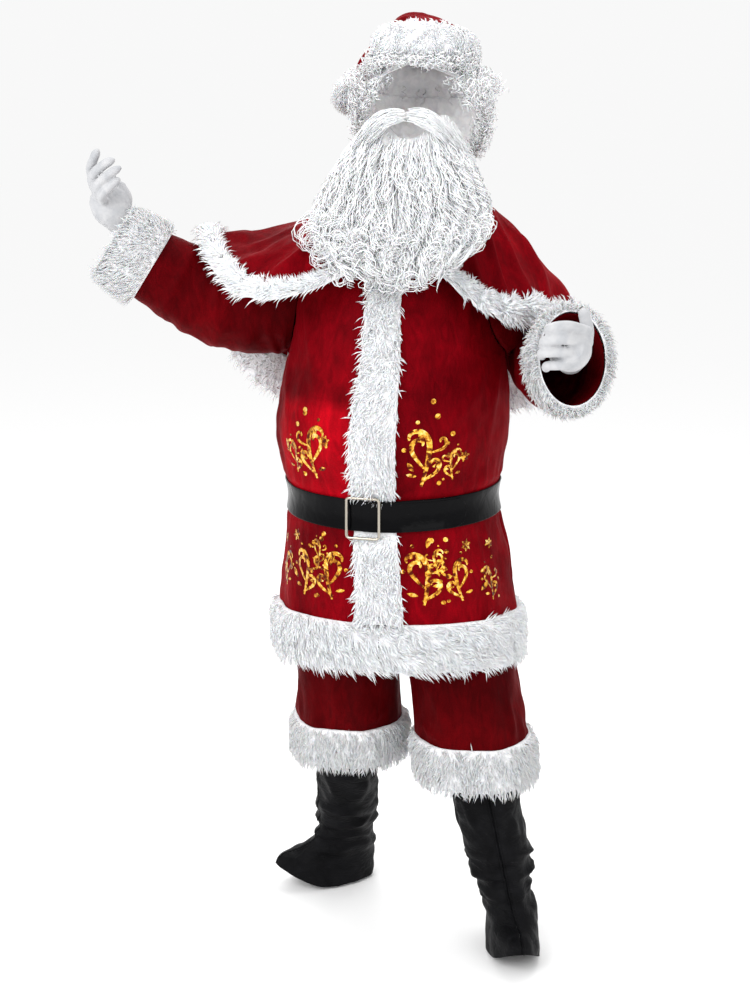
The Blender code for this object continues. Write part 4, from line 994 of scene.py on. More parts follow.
def plush_band(
    name, node, base, outward, edge, nap, flat, seed, length=0.017, dense=1.0, closed=False, press=1.0, **how
):
    """A band of plush on a grid of the cloth's own points. Edge says how full the dome is at the rim."""
    domed, grid = domed_backing(base, outward, edge, seed, press)
    if closed:
        grid = np.concatenate([grid, grid[:, :1]], axis=1)
    faces = grid_faces(*grid.shape[:2])
    backing = piece_from(name + "_backing", grid, faces, "plush_backing", (node,), "white_plush")
    wide = np.concatenate([domed, domed[:, :1]], axis=1) if closed else domed
    normal = np.concatenate([outward, outward[:, :1]], axis=1) if closed else outward
    area = flat[0] * flat[1]
    down, along = scatter(area * PILE_PER_METRE * dense, seed)
    roots = surface_point(wide, down, along)
    away = unit(surface_point(normal, down, along))
    spread = (2 * down - 1)[:, None]
    across_band = unit(surface_point(np.gradient(wide, axis=0), down, along))
    away = unit(away + across_band * spread**3 * 0.5)
    lie = nap(roots, down, along, across_band)
    fur = pile(name + "_pile", roots, away, lie, length, PILE_RADIUS, (node,), seed, **how)
    return backing, fur


DOWN = np.array([0.0, 0.0, -1.0])


def lies_down(roots, down, along, across_band):
    """Nap that lies downwards."""
    return np.broadcast_to(DOWN, roots.shape)


print("straight down is", DOWN)

# %% [markdown]
# ## The hem band and the front strip
#
# The hem's pile is brushed down and round towards the wearer's left. On the front strip it lies
# down and sways from side to side, and the belt presses it flat where it crosses.

# %% Hem band and front strip
PLACKET_TOP = 1.420
PLACKET_SQUEEZE = 0.0035

across, along = np.meshgrid(np.linspace(0.2, 359.8, 300), np.linspace(0.602, HEM_ROWS[-1], 14))
hem_grid = jacket_surface(across, along)
hem_out = outwards(jacket_surface, across, along)


def hem_nap(roots, down, along, across_band):
    """Nap brushed towards the wearer's left, more so on that side."""
    radial = unit(roots * np.array([1, 1, 0]))
    around = np.stack([-radial[:, 1], radial[:, 0], np.zeros(len(roots))], axis=-1)
    brushed = (0.95 + 0.35 * np.sin(roots[:, 0] * 8 + 1.0))[:, None]
    return unit(around * brushed + DOWN * 0.75)


plush_band(
    "hem_plush", "jacket_hem_plush", hem_grid, hem_out, 0.35, hem_nap, (1.45, 0.100), 31,
    length=0.021, dense=1.15, clump_size=0.030,
)


def placket_nap(roots, down, along, across_band):
    sway = np.sin(roots[:, 2] * 26 + roots[:, 0] * 30) * 0.75 - 0.25 * ease(1.0, 1.35, roots[:, 2])
    outer = np.where(along < 0.5, 0.6, 0.15) * (along - 0.5) - 0.3 * bump(roots[:, 2], 1.17, 0.16)
    sway = sway * (1 - (2 * along - 1) ** 4)
    return unit(np.stack([sway + outer, np.zeros(len(roots)), -np.ones(len(roots))], axis=-1))


strip_heights = np.linspace(0.702, PLACKET_TOP, 130)
strip_edges = (-11.0 + 3.5 * ease(1.0, 1.40, strip_heights), 11.0 - 1.0 * ease(1.0, 1.40, strip_heights))
strip_turns = strip_edges[0][:, None] + (strip_edges[1] - strip_edges[0])[:, None] * np.linspace(0, 1, 19)
strip_along = np.broadcast_to(strip_heights[:, None], strip_turns.shape)
strip_grid = jacket_surface(strip_turns, strip_along)
strip_out = outwards(jacket_surface, strip_turns, strip_along)
from_belt = np.maximum(BELT_ROWS[0] - strip_heights, strip_heights - BELT_ROWS[-1])
pressed = 0.20 + 0.80 * ease(0.004, 0.040, from_belt) * (0.45 + 0.55 * ease(1.42, 1.34, strip_heights))
strip = np.swapaxes(strip_grid, 0, 1)
strip_outward = np.swapaxes(strip_out, 0, 1)


def placket_parts():
    """The strip's pile in two stretches, above and below the belt, so that none grows under it."""
    edges = np.array([0.702, BELT_ROWS[0] - 0.004, BELT_ROWS[-1] + 0.004, PLACKET_TOP])
    shares = (edges - edges[0]) / (edges[-1] - edges[0])
    return (shares[0], shares[1]), (shares[2], shares[3])


print("strip stretches:", [tuple(round(float(v), 2) for v in part) for part in placket_parts()])

# %% Fit the front strip
lower, upper = placket_parts()
strip_domed, strip_closed = domed_backing(strip, strip_outward, 0.35, 33, pressed)
strip_backing = piece_from(
    "placket_plush_backing", strip_closed, grid_faces(*strip_closed.shape[:2]), "plush_backing",
    ("placket_plush",), "white_plush",
)
for number, (start, stop) in enumerate((lower, upper)):
    down, along = scatter(0.08 * 0.70 * (stop - start) * PILE_PER_METRE * 1.1, 35 + number)
    along = start + (stop - start) * along
    roots = surface_point(strip_domed, down, along)
    away = unit(surface_point(strip_outward, down, along))
    nap = placket_nap(roots, along, down, None)
    pile(
            f"placket_pile_{number}", roots, away, nap, 0.016, PILE_RADIUS, ("placket_plush",), 35 + number,
            stand=0.55, clump=0.70, clump_size=0.013,
        )

# %% [markdown]
# ## The belt and its buckle
#
# The belt is a strap of glossy vinyl with soft edges. Its section is a flat loop: an outer face, an
# inner face, and two rounded edges. Sweeping the loop round the waist gives the strap, and a second
# short sweep gives the tail that lies over it. The buckle is a bent wire frame.

# %% Belt
def belt_lift(turn):
    """The belt lies on the jacket, and rides up over the flattened strip at the front."""
    turn = np.abs((np.asarray(turn, float) + 180) % 360 - 180)
    return GAP + (PLACKET_SQUEEZE + GAP) * (1 - ease(PLACKET_TURNS[1] + EPSILON, 22.0, turn))


def strap_section():
    """Heights from -1 to 1 and lifts round a strap's section."""
    edge = BELT_THICKNESS / 2
    across = np.linspace(-1, 1, 9)
    inset = 1 - edge / 0.030
    outer = np.stack([across * inset, np.full(9, BELT_THICKNESS)], axis=1)
    angles = np.radians([60, 20, -20, -60])
    side = np.stack([np.cos(angles) * (1 - inset) + inset, edge + np.sin(angles) * edge], axis=1)
    inner = outer[::-1] * np.array([1, 0])
    other = side[::-1] * np.array([-1, 1])
    return np.concatenate([outer, side, inner, other])


def strap(name, turns, lift, node, taper=None, ring=False):
    section = strap_section()
    middle = (BELT_ROWS[0] + BELT_ROWS[-1]) / 2
    half = (BELT_ROWS[-1] - BELT_ROWS[0]) / 2 * (np.ones(len(turns)) if taper is None else taper)
    wave = 0.0012 * np.sin(np.radians(turns) * 7) + 0.0008 * np.sin(np.radians(turns) * 13 + 1)
    along = middle + half[None] * section[:, :1]
    across = np.broadcast_to(turns, along.shape)
    curl = 0.0010 * section[:, :1] ** 2
    out = lift[None] + section[:, 1:] + wave[None] * 0.3 + curl + 0.0004
    grid = layer(jacket_surface, across, along, out)
    grid = np.concatenate([grid, grid[:1]])
    faces = grid_faces(*grid.shape[:2], ring)
    return piece_from(name, grid, faces, "black_vinyl", (node,), "black_vinyl")


print("points round a strap's section:", len(strap_section()))

# %% Strap, tail and stitches
strap_turns = np.linspace(0, 360, 260, endpoint=False)
strap("belt", strap_turns, belt_lift(strap_turns), "belt_strap", ring=True)
tail_turns = np.linspace(-5.5, 50.0, 70)
left = np.clip((tail_turns[-1] - tail_turns) / 9.0, 0.0, 1)
tail_taper = np.sqrt(np.clip(1 - (1 - left) ** 2, 0.0004, 1))
tail_lift = belt_lift(tail_turns) + BELT_THICKNESS + GAP
strap("belt_tail_end", tail_turns, tail_lift, "belt_tail", taper=tail_taper)
stitch_turns = np.linspace(4.0, 47.0, 90)


def stitch_line(name, centres, finish, radius=0.00045):
    """Short stitches along a line of points: each is a small three-sided sliver."""
    steps = centres[1:] - centres[:-1]
    starts = centres[:-1] + steps * 0.18
    spines = np.stack([starts, starts + steps * 0.34, starts + steps * 0.68], axis=1)
    points, faces = locks_mesh(spines, np.full(len(spines), radius), 3, taper=0.2)
    return piece_from(name, points, faces, finish)


for edge_name, height in (("upper", BELT_ROWS[-1] - 0.004), ("lower", BELT_ROWS[0] + 0.004)):
    line = layer(jacket_surface, stitch_turns, np.full(90, height), np.interp(
        stitch_turns, tail_turns, tail_lift) + BELT_THICKNESS + 0.0016)
    stitch_line(f"belt_tail_stitches_{edge_name}", line, "black_leatherette")

# %% Buckle
def closed_wire(name, points, radius, finish, nodes, slot):
    """A round wire along a closed line of points."""
    data = bpy.data.curves.new(name, "CURVE")
    data.dimensions = "3D"
    data.bevel_depth = radius
    data.bevel_resolution = 3
    line = data.splines.new("POLY")
    line.points.add(len(points) - 1)
    for point, spot in zip(line.points, points):
        point.co = (spot[0], spot[1], spot[2] - SHOULDER_HEIGHT, 1.0)
    line.use_cyclic_u = True
    source = bpy.data.objects.new(name + "_line", data)
    bpy.context.scene.collection.objects.link(source)
    graph = bpy.context.evaluated_depsgraph_get()
    mesh = bpy.data.meshes.new_from_object(source.evaluated_get(graph))
    bpy.data.objects.remove(source)
    mesh.shade_smooth()
    return place(name, mesh, finish, nodes, slot)


def buckle_frame():
    middle = 0.5 * (BELT_ROWS[0] + BELT_ROWS[-1]) - 0.004
    lift = belt_lift(0.0) + 2 * BELT_THICKNESS + 2 * GAP + BUCKLE_WIRE + 0.0032
    corner = 0.006
    points = []
    for turn in range(0, 360, 10):
        angle = math.radians(turn)
        x = math.copysign(BUCKLE_WIDTH / 2 - corner, math.cos(angle + 0.01)) + corner * math.cos(angle)
        z = math.copysign(BUCKLE_HEIGHT / 2 - corner, math.sin(angle + 0.01)) + corner * math.sin(angle)
        around = math.degrees(math.asin((x + BUCKLE_OFFSET) / float(TORSO.read("half_width", middle))))
        spot = layer(jacket_surface, np.array(around), np.array(middle), lift)
        points.append((spot[0], spot[1], middle + z))
    return points


closed_wire("buckle", buckle_frame(), BUCKLE_WIRE * 1.25, "nickel", ("buckle_frame",), "nickel")

# %% [markdown]
# ## Sleeves and cuffs
#
# A sleeve is a tube sewn into the armhole. Its first rings keep the armhole's outline and its last
# ones go round the wrist. Cloth that is bent at the elbow throws rings of soft crumples, deep on the
# inside of the bend and shallow on the outside.

# %% Sleeve form
RIGHT_SLEEVE = Table(LIMB_COLUMNS, thousandths("""
0 -188 0 1305 106 90
140 -232 -12 1286 98 84
300 -284 -28 1280 88 79
460 -340 -45 1290 80 73
620 -395 -62 1318 75 69
780 -444 -78 1350 69 66
1000 -514 -94 1396 60 60
"""))

LEFT_SLEEVE = Table(LIMB_COLUMNS, thousandths("""
0 200 4 1308 106 80
100 226 22 1278 94 60
240 246 42 1232 86 50
360 263 32 1194 78 52
500 290 -35 1180 74 60
660 309 -120 1190 71 60
820 328 -198 1206 74 58
1000 346 -272 1226 80 56
"""))

RIGHT_SLEEVE_FOLDS = (
    (0.30, 0.035, 0.006, 180),
    (0.42, 0.035, 0.007, 200),
    (0.55, 0.03, 0.005, 160),
    (0.67, 0.03, 0.005, 30),
)
LEFT_SLEEVE_FOLDS = (
    (0.26, 0.03, 0.006, 90),
    (0.38, 0.03, 0.007, 180),
    (0.52, 0.03, 0.006, 150),
    (0.66, 0.03, 0.005, 40),
)
ARMHOLE_BLEND = 0.22
CUFF_START = 0.80
SLEEVE_LENGTH = 0.36
ARM_RADIUS = 0.075


def sleeve_surface(table, folds, side):
    """A sleeve: its first rings follow the armhole's edge on the jacket, and the rest go round the arm."""
    tube = limb(table, (0, 0, 1))

    def surface(turn, station):
        angle = np.radians(turn)
        around = side * SIDE_TURN - ARMHOLE_HALF_TURN * np.sin(angle)
        height = ARMHOLE_HEIGHT + ARMHOLE_HALF_HEIGHT * np.cos(angle)
        edge = layer(jacket_surface, around, height, GAP + CLOTH)
        start = table.points("x y z", np.zeros_like(np.asarray(station, float)))
        moved = edge + (table.points("x y z", station) - start)
        crumple = sum(
            high * bump(station, at, wide) * (0.55 + 0.45 * np.cos(np.radians(turn - facing)))
            for at, wide, high, facing in folds
        )
        share = ease(0, ARMHOLE_BLEND, station)[..., None]
        centre = table.points("x y z", station)
        round_arm = tube(turn, station)
        round_arm = round_arm + unit(round_arm - centre) * crumple[..., None]
        return moved * (1 - share) + round_arm * share

    return surface


print("sleeves from armhole to wrist:", SLEEVE_LENGTH, "m")

# %% Keeping clear of the cloth below
def tree_of_grids(*grids):
    """Cloth that lies below, ready to be searched for its nearest point."""
    points, faces = joined([(grid.reshape(-1, 3), grid_faces(*grid.shape[:2])) for grid in grids])
    return BVHTree.FromPolygons([Vector(spot) for spot in points], faces.tolist())


def clear_of(points, tree, distance):
    """Moves each point out until it lies at least this far outside the pieces below it."""
    moved = points.reshape(-1, 3).copy()
    for _ in range(3):
        for i, place in enumerate(moved):
            near, normal, _, _ = tree.find_nearest(Vector(place))
            away = (Vector(place) - near).dot(normal)
            if away < distance:
                moved[i] = place + np.array(normal) * (distance - away)
    return moved.reshape(points.shape)


print("the cape and the sleeves can now be kept off the jacket")

# %% Sleeve creases
RIGHT_CREASES = thousandths("""
100 50 220 100 10 6 5
130 90 300 130 12 7 5
160 130 270 190 -10 6 4.5
200 30 340 80 12 7 5
20 110 140 150 8 7 4
300 160 430 200 -10 8 5
340 90 460 130 10 8 4
80 190 200 225 10 6 4
220 210 380 240 12 7 4
""")
LEFT_CREASES = thousandths("""
280 20 400 100 12 7 5.5
300 80 430 130 -10 6 5
20 100 120 160 10 6 4.5
50 140 180 180 12 7 5
100 40 200 120 -12 8 5
220 130 350 170 10 6 4.5
340 180 450 220 -10 7 4.5
100 200 240 235 10 7 4
360 130 460 160 8 6 5
""")


def sleeve_cloth(table, crumples, creases, side, seed):
    """The sleeve's outer face with its crumples, creases and unevenness."""
    form = sleeve_surface(table, crumples, side)

    def surface(turn, station):
        turn, station = as_grids(turn, station)
        across = np.radians(np.mod(turn, 360)) * ARM_RADIUS
        depth = folds(across, station * SLEEVE_LENGTH, creases) * ease(0.0, 0.12, station)
        spots = form(turn, station)
        centre = table.points("x y z", station)
        depth = depth + unevenness(spots, 0.07, seed) * 0.0018 * ease(0, 0.15, station)
        depth = depth * (1 - ease(CUFF_START, CUFF_START + 0.03, station))
        return spots + unit(spots - centre) * depth[..., None]

    return surface


print("creases on the sleeves:", len(RIGHT_CREASES), "and", len(LEFT_CREASES))

# %% Sleeves and cuffs
SLEEVE_CLEARANCE = 0.004
SLEEVE_COLUMNS = 84
SLEEVE_ROWS = 112
CUFF_COLUMNS = 90
CUFF_MOUTH_LOCKS = 420
jacket_tree = tree_of_grids(front_left_grid, front_right_grid[:, ::-1], back_grid)


def sleeve(name, table, crumples, creases, side, seed):
    surface = sleeve_cloth(table, crumples, creases, side, seed)
    across, along = ring_grid(SLEEVE_COLUMNS, np.linspace(0, 0.97, SLEEVE_ROWS))
    grid = surface(across, along)
    grid[2:] = clear_of(grid[2:], jacket_tree, SLEEVE_CLEARANCE)
    outward = grid_normals(np.concatenate([grid[:, -1:], grid, grid[:, :1]], axis=1))[:, 1:-1]
    middle = table.points("x y z", along)
    outward = outward * np.sign(np.sum(outward * (grid - middle), axis=-1, keepdims=True))
    # The sleeves wear the darker velvet copy: painted shade.
    made = shell(
        f"sleeve_{name}_velvet", grid, outward, "sleeve_velvet_painted_shade", (f"sleeve_{name}",), "red_velvet",
        ring=True, hems=(0, 0, 0, 0),
    )
    across, along = ring_grid(CUFF_COLUMNS, np.linspace(CUFF_START, 1.0, 12))
    band = surface(across, along)
    band_out = unit(band - table.points("x y z", along))

    def towards_wrist(roots, down, along_band, across_band):
        return unit(across_band + DOWN * 0.45)

    plush_band(
        f"cuff_plush_{name}", f"cuff_plush_{name}", band, band_out, 0.5, towards_wrist, (0.46, 0.085),
        seed + 5, length=0.019, dense=1.0, closed=True, stand=0.6,
    )
    mouth = unit(band[-1] - band[-3])
    rim = np.stack([band[-1] + band_out[-1] * GAP, band[-1] + band_out[-1] * FUR_DEPTH * 0.5])
    down, along = scatter(CUFF_MOUTH_LOCKS, seed + 6)
    roots = surface_point(rim, down, along)
    onward = unit(surface_point(np.stack([mouth, mouth]), down, along))
    outward = unit(surface_point(np.stack([band_out[-1], band_out[-1]]), down, along))
    pile(
        f"cuff_plush_{name}_mouth", roots, onward, outward + DOWN * 0.3, 0.015, PILE_RADIUS,
        (f"cuff_plush_{name}",), seed + 7, stand=0.45,
    )
    return grid, band + band_out * FUR_DEPTH


right_sleeve_grid, right_cuff_grid = sleeve("right", RIGHT_SLEEVE, RIGHT_SLEEVE_FOLDS, RIGHT_CREASES, -1, 41)
left_sleeve_grid, left_cuff_grid = sleeve("left", LEFT_SLEEVE, LEFT_SLEEVE_FOLDS, LEFT_CREASES, 1, 51)

# %% [markdown]
# ## Knee breeches
#
# Each leg is cut in one piece. Above the crotch it covers half of the hips, under the jacket, and
# below it the piece closes round the leg, with a seam down the inside. The cloth hangs in long soft
# folds from the hip and is gathered into its plush cuff.

# %% Breeches form
WAIST_ROWS = (0.925, 0.955)
RISE_TOP = 0.86
RISE_FOOT = 0.66
HIP_EASE = 0.010

LEFT_LEG = Table("height x y half_width half_depth", thousandths("""
340 168 -30 110 104
432 157 -22 109 104
520 142 -14 107 106
620 124 -6 106 112
720 114 0 104 120
960 110 0 100 130
"""))

RIGHT_LEG = Table("height x y half_width half_depth", thousandths("""
340 -106 60 107 102
432 -102 46 106 103
520 -100 28 103 106
620 -104 10 102 112
720 -108 0 101 120
960 -112 0 100 130
"""))

LEG_FOLDS = ((0.18, 0.04, 0.006), (0.34, 0.04, 0.007), (0.62, 0.05, 0.006), (0.82, 0.05, 0.007))


def leg_surface(table, side):
    """One leg of the breeches, cut in one piece.

    The share runs from 0 at the centre front or inseam, by the outer side, to 1 at the centre back.
    Above the crotch the piece covers half of the hips, and below it the piece closes round the leg.
    """

    def surface(share, height):
        share = np.asarray(share, float) / 360
        seat = side * (SEAM_TURN * 2 + share * (180 - SEAM_TURN * 4))
        inset = CLOTH + LOOSE_GAP + HIP_EASE * ease(WAIST_ROWS[0], RISE_TOP, height)
        hips = layer(jacket_surface, seat, height, -inset)
        angle = np.radians(share * (360 - 0.4) + 0.2)
        fold = sum(high * bump(share, at, wide) for at, wide, high in LEG_FOLDS)
        fold = fold * ease(0.70, 0.52, height)
        x = table.read("x", height) - side * (table.read("half_width", height) + fold) * np.cos(angle)
        y = table.read("y", height) - (table.read("half_depth", height) + fold) * np.sin(angle)
        leg = np.stack([x, y, np.broadcast_to(height, x.shape)], axis=-1)
        drop = ease(RISE_TOP, RISE_FOOT, height)[..., None]
        return hips * (1 - drop) + leg * drop

    return surface


print("breeches reach from", WAIST_ROWS[1], "down to 0.39 m above the floor")

# %% Breeches
LEG_AROUND = 0.66
LEG_COLUMNS = 96
LEG_ROWS = 98

LEG_CREASES = thousandths("""
100 600 140 420 12 11 6.5
200 630 170 450 -10 10 5
270 550 250 410 6 9 6
360 640 380 430 12 12 6.5
470 600 450 420 -12 11 6
560 640 580 440 10 10 5.5
40 660 200 620 14 10 5.5
620 650 460 610 -14 10 5.5
60 480 130 455 6 8 4
300 470 380 445 -6 8 4
""")


def leg_cloth(table, side, seed):
    form = leg_surface(table, side)

    def surface(turn, height):
        turn, height = as_grids(turn, height)
        across = turn / 360 * LEG_AROUND
        gathers = sum(
            0.0026 * bump(across, at, 0.007) * np.exp(-(((height - 0.455) / reach) ** 2))
            for at, reach in zip(np.arange(0.03, 0.64, 0.0305), (0.03, 0.06, 0.04, 0.08, 0.035) * 5)
        )
        depth = folds(across, height, LEG_CREASES) + gathers
        spots = form(turn, height)
        depth = (depth + unevenness(spots, 0.09, seed) * 0.002) * ease(0.72, 0.66, height)
        depth = depth * ease(0.0, 0.03, np.minimum(across, LEG_AROUND - across)) * ease(0.44, 0.455, height)
        return layer(form, turn, height, side * depth)

    return surface


def leg(name, table, side, seed):
    surface = leg_cloth(table, side, seed)
    across, along = np.meshgrid(np.linspace(0.5, 359.5, LEG_COLUMNS), np.linspace(0.955, 0.388, LEG_ROWS))
    grid = surface(across, along)
    form = leg_surface(table, side)
    outward = outwards(form, across, along, side)
    node = f"breeches_leg_{name}"
    # The breeches wear the darker velvet copy: painted shade.
    made = shell(node + "_velvet", grid, outward, "breeches_velvet_painted_shade", (node,), "red_velvet")
    across, along = np.meshgrid(np.linspace(0.3, 359.7, 130), np.linspace(0.449, 0.366, 12))
    band = form(across, along)
    band_out = outwards(form, across, along, side)
    plush_band(
        f"breeches_cuff_plush_{name}", f"breeches_cuff_plush_{name}", band, band_out, 0.5, lies_down,
        (0.68, 0.085), seed + 3, length=0.018,
    )


leg("left", LEFT_LEG, 1, 61)
leg("right", RIGHT_LEG, -1, 71)

# %% [markdown]
# ## Boot covers
#
# A boot cover is a spat: two halves of leatherette joined by a seam down the front and one down the
# back, worn over ordinary shoes. It drops from under the breeches, crumples round the ankle and
# spreads over the instep to a point. The crumples are sharp because leatherette is stiff.

# %% Boot cover form
BOOT = Table("height ahead half_length half_width", thousandths("""
0 46 108 51
30 42 106 51
60 32 96 50
90 14 76 49
120 2 60 47
160 0 58 56
220 0 62 63
300 0 63 65
400 0 66 66
"""))

BOOT_FOLDS = (
    (0.205, 0.012, 0.007, 40),
    (0.166, 0.011, 0.010, 200),
    (0.126, 0.010, 0.009, -30),
    (0.090, 0.010, 0.006, 150),
)
TOE_RISE = 0.050
BOOT_COLUMNS = 54
BOOT_ROWS = 92
TOE_POINT = 0.008


def boot_surface(ankle, heading, lean):
    """A boot cover round a shank that leans, spreading over the instep to a point above the toes.

    The turn is in degrees from the toes towards the wearer's left.
    """
    ahead = np.array([math.sin(heading), -math.cos(heading), 0.0])
    aside = np.array([math.cos(heading), math.sin(heading), 0.0])
    ankle = np.array([*ankle, 0.0])
    lean = np.array([*lean, 0.0])

    def surface(turn, height):
        angle = np.radians(turn)
        crumple = sum(
            high * bump(height, at, wide) * (0.6 + 0.4 * np.cos(np.radians(turn - facing)))
            for at, wide, high, facing in BOOT_FOLDS
        )
        front = np.clip(np.cos(angle), 0, 1)
        low = ease(0.10, 0.0, height)
        length = (BOOT.read("half_length", height) + crumple) * np.cos(angle) + TOE_POINT * front**6 * low
        width = (BOOT.read("half_width", height) + crumple) * np.sin(angle)
        along = BOOT.read("ahead", height) + length
        rise = TOE_RISE * front**2 * low
        shank = np.clip((np.asarray(height, float) - 0.07) / 0.40, 0, 1)
        place = ankle + ahead * along[..., None] + aside * width[..., None] + lean * shank[..., None]
        return place + np.array([0, 0, 1.0]) * (height + rise)[..., None]

    return surface


print("boot covers reach up to", BOOT.keys[-1], "m")

# %% Boot cover creases
BOOTS = {
    "left": dict(ankle=(0.236, -0.012), heading=math.radians(14), lean=(-0.082, -0.018)),
    "right": dict(ankle=(-0.146, 0.220), heading=math.radians(-60), lean=(0.046, -0.200)),
}

BOOT_CREASES = thousandths("""
0 215 120 190 8 4.5 6
20 165 150 185 -8 4.5 6.5
-140 200 -20 170 8 4.5 6
-120 150 20 160 10 4.5 6.5
40 135 160 120 6 5 6
-160 125 -50 110 -6 4.5 5.5
60 90 170 100 6 6 4.5
10 330 50 240 10 8 4.5
-50 350 -30 250 -10 8 4.5
120 340 100 230 10 9 5
-130 330 -110 230 8 9 5
170 300 180 150 -8 7 4.5
-180 290 -170 160 8 7 4.5
""")


def boot_cloth(stance, seed):
    form = boot_surface(**stance)

    def surface(turn, height):
        turn, height = as_grids(turn, height)
        across = np.radians((turn + 180) % 360 - 180) * 0.063
        spots = form(turn, height)
        depth = folds(across, height, BOOT_CREASES) + unevenness(spots, 0.045, seed) * 0.0016
        seam = np.minimum(np.abs((turn + 180) % 360 - 180), np.abs(turn % 360 - 180))
        depth = depth - 0.0010 * np.exp(-((seam / 1.6) ** 2)) + 0.0008 * np.exp(-(((seam - 4.0) / 1.6) ** 2))
        return layer(form, turn, height, depth)

    return surface


print("creases on a boot cover:", len(BOOT_CREASES))

# %% Boot covers
def boot_cover(name, stance, seed):
    surface = boot_cloth(stance, seed)
    for half, sign in (("outer", 1), ("inner", -1)):
        turned = sign if name == "left" else -sign
        turns = turned * np.linspace(0.15, 179.85, BOOT_COLUMNS)
        across, along = np.meshgrid(turns, np.linspace(0.380, 0.006, BOOT_ROWS))
        grid = surface(across, along)
        outward = outwards(surface, across, along, 0.01)
        node = f"boot_cover_{name}_{half}"
        made = shell(
            node + "_shell", grid, outward, "black_leatherette", (node,), "black_leather", thickness=0.0014
        )
    for number, offset in enumerate((4.6, -4.6)):
        heights = np.linspace(0.37, 0.02, 70)
        line = layer(surface, np.full(70, offset), heights, 0.0006)
        stitch_line(f"boot_stitches_{name}_{number}", line, "black_vinyl", 0.0005)


for name, stance in BOOTS.items():
    boot_cover(name, stance, 81 if name == "left" else 91)

# %% [markdown]
# ## The capelet
#
# The capelet is a flared piece that hangs from the neck over the shoulders. Each row of its table is
# one line that runs out from the neck: where it crosses the shoulder, and where it ends. The cloth is
# first laid over the jacket and sleeves, pushed out wherever it would cut them, and then raised into
# the narrow folds that fan out from the neck on the wearer's left.

# %% Capelet form
CAPE_NECK_HEIGHT = 1.472
CAPE = Table("turn over_x over_y over_z edge_x edge_y edge_z", thousandths("""
-360 30 -155 1425 12 -185 1392
-335 -63 -189 1383 -92 -224 1344
-310 -105 -186 1393 -176 -249 1320
-290 -164 -161 1400 -247 -231 1328
-275 -212 -108 1398 -300 -172 1364
-262 -238 -52 1410 -336 -98 1394
-250 -249 7 1410 -360 -20 1398
-238 -238 70 1402 -388 52 1300
-215 -183 125 1414 -310 128 1127
-180 -66 171 1413 -88 223 1036
-145 57 172 1414 130 231 1045
-122 176 142 1412 280 165 1108
-110 208 94 1412 332 106 1196
-98 212 37 1412 322 12 1256
-85 200 -30 1408 282 -88 1276
-70 178 -84 1410 234 -142 1276
-50 130 -129 1407 169 -173 1306
-25 76 -159 1396 108 -189 1357
0 46 -158 1425 52 -185 1392
""", 1))
CAPE_TURNS = tuple(np.concatenate([
    np.linspace(-360, -240, 15),
    np.linspace(-229, -131, 10),
    np.linspace(-121, 0, 23),
]))
CAPE_FOLDS = thousandths("""
-300 6 6
-281 5 7
-256 5 8
-222 9 10
-197 9 10
-168 9 10
-141 9 10
-108 3.6 7
-95 3.4 8
-82 3.4 8
-69 3.4 8
-56 3.4 7
-43 3.6 6
""", 2)
CAPE_CLEARANCE = 0.0080
CAPE_FINE_COLUMNS = 200
CAPE_FINE_ROWS = 50


def cape_surface(turn, share):
    """The capelet's outer face. The share runs from 0 at the neck to 1 at the edge."""
    turn, share = as_grids(turn, share)
    neck = layer(jacket_surface, -turn, np.full(turn.shape, CAPE_NECK_HEIGHT), LOOSE_GAP + CLOTH)
    over = CAPE.points("over_x over_y over_z", turn)
    edge = CAPE.points("edge_x edge_y edge_z", turn)
    low = share[..., None]
    first = neck + (over - neck) * (low / 0.4)
    second = over + (edge - over) * ((low - 0.4) / 0.6)
    bend = ease(0.15, 0.65, share)[..., None]
    return first * (1 - bend) + second * bend


print("lines in the capelet's table:", len(CAPE.rows))

# %% Laying cloth over what is below
def evened(grid):
    """A grid of moves with each one shared out among its neighbours."""
    wide = np.pad(grid, ((1, 1), (1, 1), (0, 0)), mode="edge")
    beside = wide[1:-1, :-2] + wide[1:-1, 2:] + wide[:-2, 1:-1] + wide[2:, 1:-1]
    return 0.5 * grid + 0.125 * beside


def laid_over(sheet, tree, distance):
    """A sheet laid over the pieces below it, so that neither its corners nor its faces' middles cut them."""
    laid = sheet.copy()
    for _ in range(8):
        laid[1:] = clear_of(laid[1:], tree, distance)
        laid = sheet + evened(laid - sheet)
        middle = 0.25 * (laid[:-1, :-1] + laid[1:, :-1] + laid[:-1, 1:] + laid[1:, 1:])
        push = clear_of(middle, tree, distance) - middle
        for corner in (laid[:-1, :-1], laid[1:, :-1], laid[:-1, 1:], laid[1:, 1:]):
            corner += 0.5 * push
    laid[0] = sheet[0]
    return laid


print("cloth can be laid over cloth")

# %% Capelet creases
# Across is the turn in tenths of a degree, and along is in thousandths from neck to edge
CAPE_CREASES = thousandths("""
-3020 200 -2940 800 20 20 4
-2880 250 -2800 850 20 22 4.5
-2700 200 -2720 800 -20 20 4.5
-2620 300 -2580 850 10 20 4
-2360 200 -2300 850 20 30 6
-2080 200 -2020 900 -20 30 6
-1820 200 -1780 900 20 30 6
-1550 200 -1520 900 20 30 6
-1280 250 -1250 850 -20 26 5
-1020 220 -1000 800 10 14 3.5
-760 220 -750 780 10 14 3.5
-490 220 -500 780 -10 14 3.5
-300 250 -340 800 10 18 4
""")


